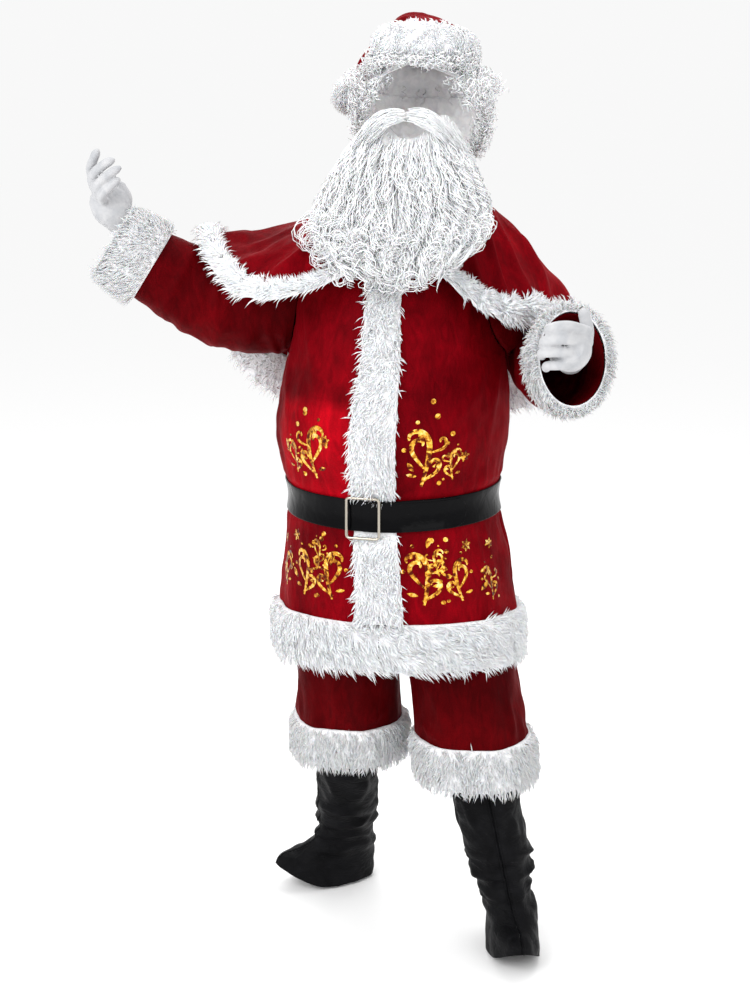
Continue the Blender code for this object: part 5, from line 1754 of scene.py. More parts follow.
def cape_grid():
    along = np.stack([np.linspace(0, 1, 9)] * len(CAPE_TURNS), axis=1)
    across = np.broadcast_to(CAPE_TURNS, along.shape)
    base = layer(cape_surface, across, along, 0.0)
    below = tree_of_grids(
        front_left_grid, front_right_grid[:, ::-1], back_grid,
        outward_ring(left_sleeve_grid), outward_ring(right_sleeve_grid),
        outward_ring(left_cuff_grid), outward_ring(right_cuff_grid),
    )
    base = laid_over(base, below, CAPE_CLEARANCE)
    places = np.stack([across, along], axis=-1)
    both = finer(np.concatenate([base, places], axis=-1), CAPE_FINE_ROWS, CAPE_FINE_COLUMNS)
    fine, across, along = both[..., :3], both[..., 3], both[..., 4]
    depth = sum(high * 1.4 * bump(across, at, wide * 0.75) for at, wide, high in CAPE_FOLDS)
    depth = depth * ease(0.10, 0.5, along)
    depth = depth + folds(across / 100, along, CAPE_CREASES)
    depth = depth + unevenness(fine, 0.08, 101) * 0.0018 * ease(0, 0.2, along)
    fine = fine + grid_normals(fine) * depth[..., None]
    fine[1:] = clear_of(fine[1:], below, 0.0035)
    return fine, grid_normals(fine)


def outward_ring(grid):
    """A sleeve's grid as a closed strip whose faces look outwards."""
    ring = np.concatenate([grid, grid[:, :1]], axis=1)
    normal = grid_normals(ring)
    middle = ring.mean(axis=1, keepdims=True)
    return ring if np.sum(normal * (ring - middle)) > 0 else ring[:, ::-1]


print("creases pressed into the capelet:", len(CAPE_CREASES))

# %% Capelet
capelet_grid, capelet_out = cape_grid()
capelet = shell("capelet_velvet", capelet_grid, capelet_out, "red_velvet", ("capelet",), "red_velvet")
trim_rows = capelet_grid[-7:]
beyond = trim_rows[-1:] + unit(trim_rows[-1:] - trim_rows[-2:-1]) * 0.012
trim_grid = np.concatenate([trim_rows, beyond])
trim_out = np.concatenate([capelet_out[-7:], capelet_out[-1:]])


def cape_nap(roots, down, along, across_band):
    """Nap that runs round the edge, away from the front, and spreads over both rims."""
    radial = unit(roots * np.array([1, 1, 0]))
    around = unit(np.cross(radial, across_band))
    around = around * np.where(around[:, :1] * roots[:, :1] > 0, 1, -1)
    over = (0.15 + 0.75 * (2 * down - 1))[:, None]
    return unit(around * 0.8 + across_band * over + DOWN * 0.15)


plush_band(
    "capelet_trim_plush", "capelet_trim_plush", trim_grid, trim_out, 0.4, cape_nap, (2.1, 0.056), 111,
    length=0.020, dense=1.15, stand=0.45, clump=0.5, clump_size=0.016,
)

HANGING_EDGE = slice(57, 114)
fold_grid, fold_out = trim_grid[:, HANGING_EDGE], -trim_out[:, HANGING_EDGE]
plush_band(
    "capelet_trim_fold", "capelet_trim_plush", fold_grid, fold_out, 0.3, cape_nap,
    (1.35, 0.058), 113, length=0.016, dense=0.4, press=0.35, stand=0.6,
)

# %% [markdown]
# ## Hat
#
# The hat is a velvet bag with a plush brim. Its tip has been folded back and hangs behind the head to
# the wearer's right, where its pompom shows beside the cheek. The crown is again a table of sections
# along a bent line, with creases where the bag folds over.

# %% Hat form
HEAD_BASE = np.array([0.046, 0.012, 1.716])
HEAD_AXIS = unit(np.array([0.03, 0.12, 0.98]))
HEAD_RIGHT = unit(np.cross(HEAD_AXIS, np.array([0.0, -1.0, 0.0])))
HEAD_BACK = np.cross(HEAD_AXIS, HEAD_RIGHT)

HAT = Table("station x y z facing_x facing_y facing_z half_height half_width", thousandths("""
0 0 0 4 0 0 1000 85.8 85.8
120 0 0 26 0 70 1000 85.6 85.6
240 0 3 48 -20 170 1000 80 80
320 -6 12 59 -80 200 1000 67 67
420 -24 34 69 -330 320 880 43 43
540 -51 75 71 -620 740 120 27 24
700 -90 108 50 -750 350 -600 24 18
850 -122 108 12 -500 -250 -820 18 16
1000 -139 86 -24 -350 -450 -820 11 11
"""))

CROWN_COLUMNS = 76
CROWN_ROWS = 84


def hat_surface(turn, station):
    """The hat's crown. The turn is in degrees from the front towards the wearer's left."""
    centre = HAT.points("x y z", station)
    facing = unit(HAT.points("facing_x facing_y facing_z", station))
    front = np.array([0.0, -1.0, 0.0])
    top = unit(front - facing * (facing @ front)[..., None])
    side = np.cross(facing, top)
    angle = np.radians(turn)
    crease = 1 + 0.05 * np.sin(angle * 3 + np.asarray(station, float) * 14) * ease(0.3, 0.5, station)
    height = HAT.read("half_height", station) * np.cos(angle) * crease
    width = HAT.read("half_width", station) * np.sin(angle) * crease
    local = centre + top * height[..., None] + side * width[..., None]
    return HEAD_BASE + local[..., :1] * HEAD_RIGHT + local[..., 1:2] * HEAD_BACK + local[..., 2:] * HEAD_AXIS


def hat_cloth(turn, station):
    turn, station = as_grids(turn, station)
    spots = hat_surface(turn, station)
    creases = 0.0030 * np.sin(np.radians(turn * 5) + station * 11) * ease(0.28, 0.45, station)
    creases = creases + 0.0016 * np.sin(np.radians(turn * 11) + station * 25 + 1) * ease(0.28, 0.40, station)
    return layer(hat_surface, turn, station, creases + unevenness(spots, 0.05, 121) * 0.001)


across, along = ring_grid(CROWN_COLUMNS, np.linspace(0, 1.0, CROWN_ROWS))
crown_grid = hat_cloth(across, along)
crown = piece_from(
    "hat_crown_velvet", crown_grid, grid_faces(*crown_grid.shape[:2], True), "red_velvet", ("hat_crown",),
    "red_velvet",
)

# %% Hat brim and pompom
across, along = ring_grid(110, np.linspace(-0.01, 0.245, 12))
brim_grid = hat_surface(across, np.clip(along, 0, 1))
brim_out = outwards(hat_surface, across, along)


def brim_nap(roots, down, along, across_band):
    swirl = np.stack([unevenness(roots, 0.03, seed) for seed in (131, 132, 133)], axis=-1)
    return unit(swirl * 0.7 - HEAD_AXIS * 0.8)


plush_band(
    "hat_brim_plush", "hat_brim_plush", brim_grid, brim_out, 0.45, brim_nap, (0.56, 0.062), 134,
    length=0.011, dense=1.7, closed=True, stand=0.5,
)


def ball_points(count):
    """Directions spread evenly over a ball, along a spiral."""
    step = np.arange(count) + 0.5
    height = 1 - 2 * step / count
    turn = step * math.pi * (3 - math.sqrt(5))
    flat = np.sqrt(1 - height**2)
    return np.stack([flat * np.cos(turn), flat * np.sin(turn), height], axis=-1)


POMPOM_CORE = 0.021
POMPOM_LOCKS = 1500
low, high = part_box("hat_pompom")
pompom_centre = np.array((low + high) / 2) + np.array([0, 0, SHOULDER_HEIGHT])
across, along = np.meshgrid(np.linspace(0, 360, 41), np.linspace(-89.5, 89.5, 21))
turn, rise = np.radians(across), np.radians(along)
ball = np.stack([np.cos(turn) * np.cos(rise), np.sin(turn) * np.cos(rise), np.sin(rise)], axis=-1)
core = pompom_centre + ball * (POMPOM_CORE + 0.0012 * unevenness(ball, 0.9, 141))[..., None]
core_faces = grid_faces(*core.shape[:2])
piece_from("hat_pompom_core", core, core_faces, "plush_backing", ("hat_pompom",), "white_plush")
away = ball_points(POMPOM_LOCKS)
pile(
    "hat_pompom_pile", pompom_centre + away * POMPOM_CORE, away, DOWN + away * 0.2, 0.012, 0.0011,
    ("hat_pompom",), 142, stand=1.1, clump=0.3,
)

# %% [markdown]
# ## Wig
#
# The wig is a net cap sewn with tight synthetic ringlets. A ringlet is a small spring that hangs
# from its root, so its line is a helix. The net below is a plain shell; from the front only the
# ringlets show, and a fringe of smaller ones hangs from under the hat's brim.

# %% Wig form
FACE_TURN = 50.0
CHEEK_TURN = 84.0
WIG = Table("level half_width front back wall", thousandths("""
-160 96 86 98 20
-135 114 94 112 30
-100 124 98 122 36
-60 126 102 126 38
-28 118 104 120 34
-8 80 80 80 8
20 79.5 79.5 79.5 6
"""))


def head_surface(table):
    def surface(turn, level):
        angle = np.radians(turn)
        depth = np.where(np.cos(angle) > 0, table.read("front", level), table.read("back", level))
        aside = table.read("half_width", level) * np.sin(angle)
        back = -depth * np.cos(angle)
        return (
            HEAD_BASE
            + HEAD_RIGHT * aside[..., None]
            + HEAD_BACK * back[..., None]
            + HEAD_AXIS * np.asarray(level, float)[..., None]
        )

    return surface


def wig_opening(level):
    """How far the wig stays open to each side of the face, in degrees, at a level below the brim."""
    opening = 0.4 + (FACE_TURN - 0.4) * ease(-0.002, -0.022, level)
    return opening + (CHEEK_TURN - FACE_TURN) * ease(-0.050, -0.100, level)


wig_form = head_surface(WIG)
levels = np.linspace(-0.158, 0.018, 40)
opening = wig_opening(levels)[:, None]
across = opening + (360 - 2 * opening) * np.linspace(0, 1, 110)[None]
along = np.broadcast_to(levels[:, None], across.shape)
thick = WIG.read("wall", along)
sunk = -thick * 0.55 + unevenness(wig_form(across, along), 0.02, 151) * 0.002
net_grid = layer(wig_form, across, along, sunk)
net = piece_from("wig_net", net_grid, grid_faces(*net_grid.shape[:2]), "white_hair", ("wig",), "white_hair")


print("the face stays open", 2 * FACE_TURN, "degrees wide")

# %% Ringlets
def ringlets(name, roots, axis, length, radius, turns, thickness, seed, steps=16):
    """Springs of hair that grow from their roots along an axis."""
    rng = np.random.default_rng(seed)
    count = len(roots)
    axis = unit(axis + rng.normal(scale=0.22, size=(count, 3)))
    first = unit(np.cross(axis, unit(rng.normal(size=(count, 3)))))
    second = np.cross(axis, first)
    t = np.linspace(0, 1, steps)[None]
    hand = rng.choice([-1.0, 1.0], count)[:, None]
    phase = hand * 2 * math.pi * t * turns * rng.uniform(0.8, 1.2, count)[:, None]
    phase = phase + rng.uniform(0, 6.3, count)[:, None]
    wide = radius * rng.uniform(0.6, 1.25, count)[:, None] * ease(-0.05, 0.25, t) * (1 - 0.35 * t)
    reach = length * rng.uniform(0.7, 1.25, count)[:, None] * t
    sag = DOWN * (reach**2 * 1.5)[..., None]
    spines = roots[:, None] + axis[:, None] * reach[..., None] + sag
    spines = spines + first[:, None] * (np.cos(phase) * wide)[..., None]
    spines = spines + second[:, None] * (np.sin(phase) * wide)[..., None]
    radii = thickness * rng.uniform(0.7, 1.2, count)
    points, faces = locks_mesh(spines, radii, seed, taper=0.6)
    return piece_from(name, points, faces, "white_hair", ("wig",), "white_hair")


print("ringlets can be made")

# %% Wig curls
def wig_roots(count, seed):
    rng = np.random.default_rng(seed)
    down, along = scatter(count, seed)
    level = -0.150 + 0.140 * down
    opening = wig_opening(level) + rng.uniform(-3, 3, len(level))
    turn = opening + (360 - 2 * opening) * along
    spots = layer(wig_form, turn, level, -0.006)
    return spots, outwards(wig_form, turn, level)


def wig_spots(turn, level, lift):
    """Places on the wig, and the direction out of the head at each one."""
    spots = layer(wig_form, turn, level, lift)
    return spots, unit(spots - (HEAD_BASE + HEAD_AXIS * level[:, None]))


def drawn(seed, low, high, count):
    return np.random.default_rng(seed).uniform(low, high, count)


BACK_CURLS, INNER_CURLS, FRINGE_CURLS, SIDE_CURLS, RIM_CURLS = 620, 260, 190, 220, 180

roots, away = wig_roots(BACK_CURLS, 161)
ringlets("wig_curls", roots, DOWN * 0.6 + away, 0.021, 0.0078, 1.7, 0.0014, 162)

roots, away = wig_roots(INNER_CURLS, 163)
roots = roots - away * 0.008
ringlets("wig_curls_inner", roots, DOWN + away * 0.4, 0.030, 0.0055, 1.8, 0.0015, 164, 12)

turn = drawn(165, -74, 74, FRINGE_CURLS)
level = drawn(166, -0.004, 0.022, FRINGE_CURLS) - 0.010 * bump(turn, 0.0, 34.0)
roots, away = wig_spots(turn, level, 0.016 + 0.006 * np.sin(turn))
ringlets("wig_fringe", roots + away * 0.006, DOWN + away * 0.7, 0.022, 0.0070, 1.6, 0.0013, 167)

turn = drawn(171, 52, 128, SIDE_CURLS) * np.random.default_rng(172).choice([-1, 1], SIDE_CURLS)
level = drawn(173, -0.040, 0.014, SIDE_CURLS)
roots, away = wig_spots(turn, level, 0.010 + 0.008 * np.random.default_rng(174).random(SIDE_CURLS))
ringlets("wig_side_curls", roots, DOWN * 0.6 + away, 0.020, 0.0075, 1.7, 0.0014, 175)

level = drawn(176, -0.145, -0.015, RIM_CURLS)
side = np.random.default_rng(177).choice([-1, 1], RIM_CURLS)
turn = (wig_opening(level) + drawn(178, -9, 8, RIM_CURLS)) * side
roots, away = wig_spots(turn, level, -0.012)
inwards = DOWN * 0.7 + away * 0.2 - HEAD_RIGHT * (side * 0.8)[:, None]
ringlets("wig_rim_curls", roots, inwards, 0.020, 0.0070, 1.6, 0.0013, 179)

# %% [markdown]
# ## Beard and moustache
#
# The beard is a weft of long wavy hair on a band over the ears. Its body is a smooth bib that
# widens to the chest. Each lock starts somewhere on the bib, runs down along it, and waves more and
# more towards its tip; the last ones end in open curls. The moustache sweeps out to both sides over
# the beard from the middle.

# %% Beard form
BEARD = Table("level x half_width back thickness side_back", thousandths("""
0 36 74 -90 22 -40
200 32 100 -102 44 -50
450 30 126 -134 60 -76
700 32 149 -186 52 -122
880 34 140 -226 36 -180
1000 34 110 -239 20 -214
"""))
BEARD_TOP_SIDE = 1.629
BEARD_TOP_MIDDLE = 1.588
BEARD_FOOT = 1.352
BEARD_FOOT_SIDE = 1.400


def beard_point(share, level, depth_share):
    """A point in the beard.

    The share runs from -1 at the wearer's right to 1 at the left, the depth from back to front.
    """
    spread = np.abs(share)
    rise = ease(0.06, 0.6, spread) - 0.35 * ease(0.65, 1.0, spread)
    top = BEARD_TOP_MIDDLE + (BEARD_TOP_SIDE - BEARD_TOP_MIDDLE) * rise
    foot = BEARD_FOOT + (BEARD_FOOT_SIDE - BEARD_FOOT) * spread**2
    height = top + (foot - top) * level
    lock = 0.006 * np.sin(share * 40 + 3 * np.sin(level * 9)) * ease(0.0, 0.2, level)
    tip = 0.012 * np.sin(share * 31 + 1.0) * ease(0.75, 1.0, level)
    x = BEARD.read("x", level) + BEARD.read("half_width", level) * np.sin(share * math.pi / 2 * 0.98)
    back = BEARD.read("back", level)
    y = back + (BEARD.read("side_back", level) - back) * spread**2.2
    thick = BEARD.read("thickness", level) * (0.35 + 0.65 * np.sqrt(np.clip(1 - spread**2, 0, 1)))
    y = y - depth_share * (thick + lock)
    return np.stack([x + depth_share * 0.25 * thick * np.sign(share) * spread**3, y, height + tip], axis=-1)


print("the beard's middle reaches down to", BEARD_FOOT, "m")

# %% Beard body
BODY_COLUMNS = 66
BODY_ROWS = 58
share, level = np.meshgrid(np.linspace(-1, 1, BODY_COLUMNS), np.linspace(0, 1, BODY_ROWS))
front = beard_point(share, level, 0.90)
front = front + unevenness(front * np.array([1, 1, 0.35]), 0.022, 171)[..., None] * np.array([0, -0.0030, 0])
behind = beard_point(share, level, 0.05)
body = np.concatenate([behind[:1], front, behind[::-4]])
body_faces = grid_faces(*body.shape[:2])
# The bib wears the darker hair copy: painted shade between the locks.
beard_body = piece_from("beard_body", body, body_faces, "under_hair_painted_shade", ("beard",), "white_hair")


print("beard body:", BODY_ROWS, "rows of", BODY_COLUMNS)

# %% Waving locks
def waving_locks(name, share, level, drop, wave, lift, thickness, seed, steps=10, curl=0.0):
    """Locks that run down the beard from a share and a level, waving more towards their tips."""
    rng = np.random.default_rng(seed)
    count = len(share)
    t = np.linspace(0, 1, steps)[None]
    guides = rng.uniform(size=(max(count // 8, 4), 2)) * np.array([2.0, 1.0]) - np.array([1.0, 0.0])
    apart = (share[:, None] - guides[:, 0]) ** 2 + ((level[:, None] - guides[:, 1]) * 0.6) ** 2
    tuft = apart.argmin(axis=1)

    def shared(low, high, spread):
        """One value for each tuft, with a little difference from lock to lock."""
        return (rng.uniform(low, high, len(guides))[tuft] + rng.normal(scale=spread, size=count))[:, None]

    run = drop * shared(0.75, 1.2, 0.06)
    drift = shared(-0.16, 0.16, 0.02) * t
    pulled = (guides[tuft, 0][:, None] - share[:, None]) * 0.45 * t
    at_share = np.clip(share[:, None] * (1 + 0.10 * t) + drift * 0.5 + pulled, -0.99, 0.99)
    at_level = level[:, None] + run * t
    over = np.maximum(at_level - 1.0, 0)
    depth = 0.92 + rng.uniform(0.0, lift, count)[:, None] * (0.4 + 0.6 * t)
    spines = beard_point(at_share, np.minimum(at_level, 1.0), depth)
    spines[..., 2] -= over * 0.09
    phase = 2 * math.pi * shared(0.9, 2.0, 0.04) * t + shared(0.0, 6.3, 0.25)
    wide = wave * shared(0.6, 1.3, 0.1) * (0.25 + 0.75 * t) * ease(0.0, 0.15, t)
    spines[..., 0] += wide * np.cos(phase)
    spines[..., 1] += wide * 0.7 * np.sin(phase)
    spines[..., 2] += wide * 0.5 * np.sin(phase + 1.0) * t
    if curl:
        ring = np.clip((t - 0.5) / 0.5, 0, 1)
        swing = 2 * math.pi * ring * shared(0.9, 1.4, 0.05)
        hand = np.sign(shared(-1.0, 1.0, 0.0) + 0.001)
        size = curl * shared(0.6, 1.35, 0.08)
        spines[..., 0] += hand * size * (1 - np.cos(swing))
        spines[..., 2] += size * np.sin(swing) + size * ring * 1.5
    points, faces = locks_mesh(spines, thickness * rng.uniform(0.7, 1.3, count), seed, taper=0.65)
    return piece_from(name, points, faces, "white_hair", ("beard",), "white_hair")


print("locks can run down the beard")

# %% Beard locks
BEARD_LOCKS, OVER_LOCKS, BEARD_CURLS = 1350, 600, 330
down, along = scatter(BEARD_LOCKS, 181)
waving_locks("beard_locks", along * 1.94 - 0.97, down * 0.86, 0.30, 0.0085, 0.20, 0.0014, 182)
down, along = scatter(OVER_LOCKS, 183)
waving_locks("beard_locks_over", along * 1.9 - 0.95, 0.05 + down * 0.75, 0.34, 0.0115, 0.38, 0.0015, 184)
down, along = scatter(BEARD_CURLS, 185)
waving_locks(
    "beard_curls", along * 1.80 - 0.90, 0.58 + down * 0.34, 0.24, 0.0080, 0.45, 0.0013, 186,
    steps=19, curl=0.0125,
)

# %% Moustache
MOUSTACHE = Table(LIMB_COLUMNS, thousandths("""
-1000 -50 -119.5 1590 6 5
-700 -26 -129.5 1612 13 9
-350 4 -133.5 1630 16 10
0 36 -133.5 1634 11 9
350 68 -133.5 1630 16 10
700 98 -129.5 1612 13 9
1000 122 -119.5 1590 6 5
"""))

MOUSTACHE_DROP = 0.006
MOUSTACHE_LOCKS = 340
moustache_form = limb(MOUSTACHE, (0, 0, 1))
across, along = np.meshgrid(np.linspace(0, 360, 41), np.linspace(-1, 1, 60))
tuft = moustache_form(across, along)
middle = MOUSTACHE.points("x y z", along)
tuft = middle + (tuft - middle) * 0.55 + DOWN * MOUSTACHE_DROP
# The moustache's body wears the darker hair copy: painted shade between the locks.
piece_from("moustache_body", tuft, grid_faces(*tuft.shape[:2]), "under_hair_painted_shade", ("moustache",), "white_hair")


def moustache_locks(count, seed):
    rng = np.random.default_rng(seed)
    side = rng.choice([-1.0, 1.0], count)[:, None]
    start = rng.uniform(0.0, 0.55, count)[:, None]
    t = np.linspace(0, 1, 10)[None]
    station = side * np.minimum(start + (0.55 + 0.25 * rng.random((count, 1))) * t, 1.0)
    turn = rng.uniform(-80, 210, count)[:, None] + t * rng.normal(scale=20, size=(count, 1))
    skin = moustache_form(turn, station)
    centre = MOUSTACHE.points("x y z", station)
    size = 0.70 + 0.30 * rng.random((count, 1, 1))
    spines = centre + (skin - centre) * size + DOWN * MOUSTACHE_DROP
    sweep = np.clip(t - 0.55, 0, 1)
    spines[..., 2] -= sweep * 0.030 * (0.5 + rng.random((count, 1)))
    spines[..., 0] += side * sweep * 0.020
    phase = rng.uniform(0, 6.3, (count, 1)) + 6.0 * t
    spines[..., 1] += 0.0034 * np.sin(phase) * t - 0.008 * sweep
    spines[..., 2] += 0.0042 * np.cos(phase * 1.3) * t
    points, faces = locks_mesh(spines, 0.0010 * rng.uniform(0.6, 1.3, count), seed, taper=0.65)
    return piece_from("moustache_locks", points, faces, "white_hair", ("moustache",), "white_hair")


moustache_locks(MOUSTACHE_LOCKS, 191)

# %% [markdown]
# ## Gloves
#
# The gloves are thin stretch knit, so they show the hand's own form. Each is built from a palm,
# four fingers and a thumb that overlap. A voxel remesh joins them into one skin, smoothing softens the places
# where they meet, and the wrist's end is then cut open.

# %% Finger joints
def digit_lines(text):
    """A line of joints for each digit, from its root to its tip, in millimetres."""
    found = {}
    for line in text.strip().splitlines():
        digit, joints = line.split(maxsplit=1)
        found[digit] = thousandths(joints).reshape(-1, 3)
    return found


RIGHT_DIGITS = digit_lines("""
index -548 -97 1490 -554 -110 1529 -544 -118 1552 -533 -125 1568
middle -541 -106 1483 -546 -127 1516 -520 -137 1540 -499 -134 1551
ring -536 -105 1476 -534 -135 1501 -507 -145 1524 -485 -141 1537
little -529 -103 1469 -526 -133 1486 -504 -140 1505 -489 -137 1517
thumb -503 -79 1449 -498 -76 1477 -508 -71 1495 -516 -69 1507
""")
LEFT_DIGITS = digit_lines("""
index 375 -360 1283 344 -396 1296 315 -396 1291 313 -366 1277
middle 378 -360 1266 340 -402 1276 308 -398 1271 306 -368 1257
ring 376 -360 1248 337 -398 1254 304 -393 1251 302 -363 1239
little 363 -362 1232 336 -393 1232 311 -387 1229 309 -362 1219
thumb 370 -311 1255 372 -315 1280 367 -321 1301 363 -322 1317
""")
print("joints in a finger:", len(RIGHT_DIGITS["index"]))

# %% Palms and finger sizes
RIGHT_PALM = Table(LIMB_COLUMNS, thousandths("""
0 -476 -90 1368 25 24
200 -492 -87 1405 19 17
400 -507 -90 1435 27 20
600 -522 -92 1459 36 21
800 -536 -94 1481 32 19
1000 -544 -96 1494 20 12
"""))
LEFT_PALM = Table(LIMB_COLUMNS, thousandths("""
0 340 -235 1218 27 26
200 344 -264 1229 25 24
400 345 -305 1240 32 30
600 345 -345 1250 36 36
800 347 -375 1258 34 34
1000 348 -391 1262 22 22
"""))
DIGIT_RADII = {"index": 0.0102, "middle": 0.0105, "ring": 0.0100, "little": 0.0092, "thumb": 0.0118}
DIGIT_STATIONS = (0.0, 0.33, 0.66, 0.90, 1.0)
DIGIT_TAPER = (1.05, 1.02, 0.96, 0.80, 0.38)
PALM_UP = (0.55, 0.15, 0.80)
DIGIT_UP = (0.2, 0.9, 0.35)
GLOVE_VOXEL = 0.0022


print("gloves are remeshed at", GLOVE_VOXEL * 1000, "mm")

# %% Gloves
def capped_tube(rings):
    """Points and triangles of a closed tube."""
    rows, columns = rings.shape[:2]
    quads = grid_faces(rows, columns, True)
    faces = np.concatenate([quads[:, [0, 1, 2]], quads[:, [0, 2, 3]]])
    points = np.concatenate([rings.reshape(-1, 3), rings[:1].mean(axis=1), rings[-1:].mean(axis=1)])
    step = np.arange(columns)
    first = np.stack([np.roll(step, -1), step, np.full(columns, rows * columns)], axis=1)
    last_row = (rows - 1) * columns
    tip = np.full(columns, rows * columns + 1)
    last = np.stack([last_row + step, last_row + np.roll(step, -1), tip], axis=1)
    return points, np.concatenate([faces, first, last])


def glove(name, palm, digits):
    across, along = ring_grid(28, np.linspace(0, 1, 24))
    parts = [capped_tube(limb(palm, PALM_UP)(across, along))]
    for digit, joints in digits.items():
        keys = np.linspace(0, 1, len(joints))
        line = smooth_curve(keys, joints, DIGIT_STATIONS)
        radii = DIGIT_RADII[digit] * 0.88 * np.array(DIGIT_TAPER)
        tube = Table(LIMB_COLUMNS, np.column_stack([DIGIT_STATIONS, line, radii, radii]))
        stations = np.concatenate([np.linspace(0, 0.9, 18), [0.94, 0.97, 0.99, 1.0]])
        across, along = ring_grid(18, stations)
        parts.append(capped_tube(limb(tube, DIGIT_UP)(across, along)))
    piece = name + "_knit"
    made = piece_from(piece, *joined(parts), "white_knit", (name,), "white_knit")
    remeshed = made.modifiers.new("remeshed", "REMESH")
    remeshed.mode = "VOXEL"
    remeshed.voxel_size = GLOVE_VOXEL
    softened = made.modifiers.new("softened", "SMOOTH")
    softened.factor = 0.5
    softened.iterations = 2
    graph = bpy.context.evaluated_depsgraph_get()
    skin = bpy.data.meshes.new_from_object(made.evaluated_get(graph))
    made.modifiers.clear()
    made.data = skin
    skin.materials.clear()
    skin.materials.append(FINISHES["white_knit"])
    open_wrist(skin, palm)
    skin.shade_smooth()
    triangles_made[piece] = sum(len(face.vertices) - 2 for face in skin.polygons)
    print(f"{piece}: {triangles_made[piece]} triangles after joining")


def open_wrist(mesh, palm):
    """Cuts away the cap that closes the wrist's end, inside the sleeve."""
    start = palm.points("x y z", np.array(0.03)) - np.array([0, 0, SHOULDER_HEIGHT])
    ahead = unit(palm.points("x y z", np.array(0.1)) - palm.points("x y z", np.array(0.0)))
    cutter = bmesh.new()
    cutter.from_mesh(mesh)
    everything = cutter.verts[:] + cutter.edges[:] + cutter.faces[:]
    bmesh.ops.bisect_plane(cutter, geom=everything, plane_co=start, plane_no=ahead, clear_inner=True)
    cutter.to_mesh(mesh)
    cutter.free()


glove("glove_right", RIGHT_PALM, RIGHT_DIGITS)
glove("glove_left", LEFT_PALM, LEFT_DIGITS)

# %% [markdown]
# ## Gold foil
#
# The jacket's fronts are pressed with gold foil. The motifs here are plain curling tendrils, leaves,
# small snow crystals and dots, drawn by formula on a flat map in metres and then laid on the
# creased velvet, a fraction of a millimetre out, so that they bend and glint with it.

# %% Foil motifs
FOIL_LIFT = 0.0007


def ribbon(points, widths):
    """A flat ribbon along a line on the map, as points and faces."""
    points = np.asarray(points, float)
    ahead = unit(np.gradient(points, axis=0))
    aside = np.stack([-ahead[:, 1], ahead[:, 0]], axis=1) * np.asarray(widths)[:, None] / 2
    grid = np.stack([points - aside, points, points + aside], axis=1)
    return grid.reshape(-1, 2), grid_faces(len(points), 3)


def tendril(start_x, start_y, size, heading, hand, length=0.6, width=0.0042):
    """A stem that leaves in one direction and rolls up into an open curl."""
    t = np.linspace(0, 1, 46)
    turn = math.radians(heading) + hand * (0.6 * t + 6.4 * np.maximum(t - 1 + length, 0) ** 1.35)
    pace = size * (1.25 - 0.95 * t)
    step = np.stack([np.cos(turn), np.sin(turn)], axis=1) * pace[:, None] / 22
    line = np.cumsum(step, axis=0) + (start_x, start_y)
    return ribbon(line, width * (0.35 + 1.1 * np.sin(math.pi * np.clip(t * 0.92 + 0.06, 0, 1)) ** 0.8))


def leaf(x, y, size, heading):
    """A pointed leaf."""
    t = np.linspace(0, 1, 12)
    angle = math.radians(heading)
    line = np.stack([x + np.cos(angle) * t * size, y + np.sin(angle) * t * size], axis=1)
    return ribbon(line, size * 0.42 * np.sin(math.pi * t) ** 0.9 + 0.0002)


def dot(x, y, size):
    """A round dot."""
    turn = np.linspace(0, 2 * math.pi, 15)[:, None]
    rim = np.concatenate([x + np.cos(turn) * size, y + np.sin(turn) * size], axis=1)
    grid = np.stack([rim, rim * 0.5 + np.array([x, y]) * 0.5, rim * 0.02 + np.array([x, y]) * 0.98], axis=1)
    return grid.reshape(-1, 2), grid_faces(15, 3)


def crystal(x, y, size):
    """A small snow crystal: six plain bars with a short cross bar near each end."""
    parts = []
    for number in range(3):
        angle = math.radians(number * 60 + 15)
        ahead = np.array([math.cos(angle), math.sin(angle)])
        aside = np.array([-ahead[1], ahead[0]])
        centre = np.array([x, y])
        parts.append(ribbon([centre - ahead * size, centre, centre + ahead * size], [0.0026] * 3))
        for end in (-0.62, 0.62):
            middle = centre + ahead * size * end
            cross = [middle - aside * size * 0.28, middle, middle + aside * size * 0.28]
            parts.append(ribbon(cross, [0.0020] * 3))
    return joined(parts)


print("motifs: leaf, dot, crystal")

# %% Sprays
# In shares of the spray's size. A stem is: across, up, size, lean, roll, length, width.
SPRAY_STEMS = (
    (0, 0, 0.62, -16, 1, 0.62, 0.046),
    (0.05, 0.26, 0.36, 40, -1, 0.72, 0.038),
    (-0.02, 0.08, 0.34, -62, 1, 0.74, 0.038),
    (0.10, 0.48, 0.24, -80, 1, 0.8, 0.030),
)
SPRAY_LEAVES = ((-0.05, 0.17, 0.13, 74), (0.13, 0.30, 0.12, -86), (0.02, 0.62, 0.12, 30))
SPRAY_DOTS = (
    (0.34, 0.42, 0.034), (-0.20, 0.52, 0.028), (0.24, 0.06, 0.030), (0.18, 0.92, 0.034), (-0.06, 0.86, 0.024)
)


def spray(x, y, size, hand):
    """A rising spray: a stem with a curl at its head, side curls, leaves and dots."""
    parts = [
        tendril(
            x + hand * out * size, y + up * size, size * long, 90 + hand * lean, hand * roll, length,
            size * wide,
        )
        for out, up, long, lean, roll, length, wide in SPRAY_STEMS
    ]
    for out, up, long, lean in SPRAY_LEAVES:
        parts.append(leaf(x + hand * out * size, y + up * size, long * size, 90 + hand * lean))
    for out, up, wide in SPRAY_DOTS:
        parts.append(dot(x + hand * out * size, y + up * size, wide * size))
    return joined(parts)


print("stems in a spray:", len(SPRAY_STEMS))

# %% Press the foil on
MOTIFS = {"leaf": leaf, "dot": dot, "crystal": crystal, "spray": spray}


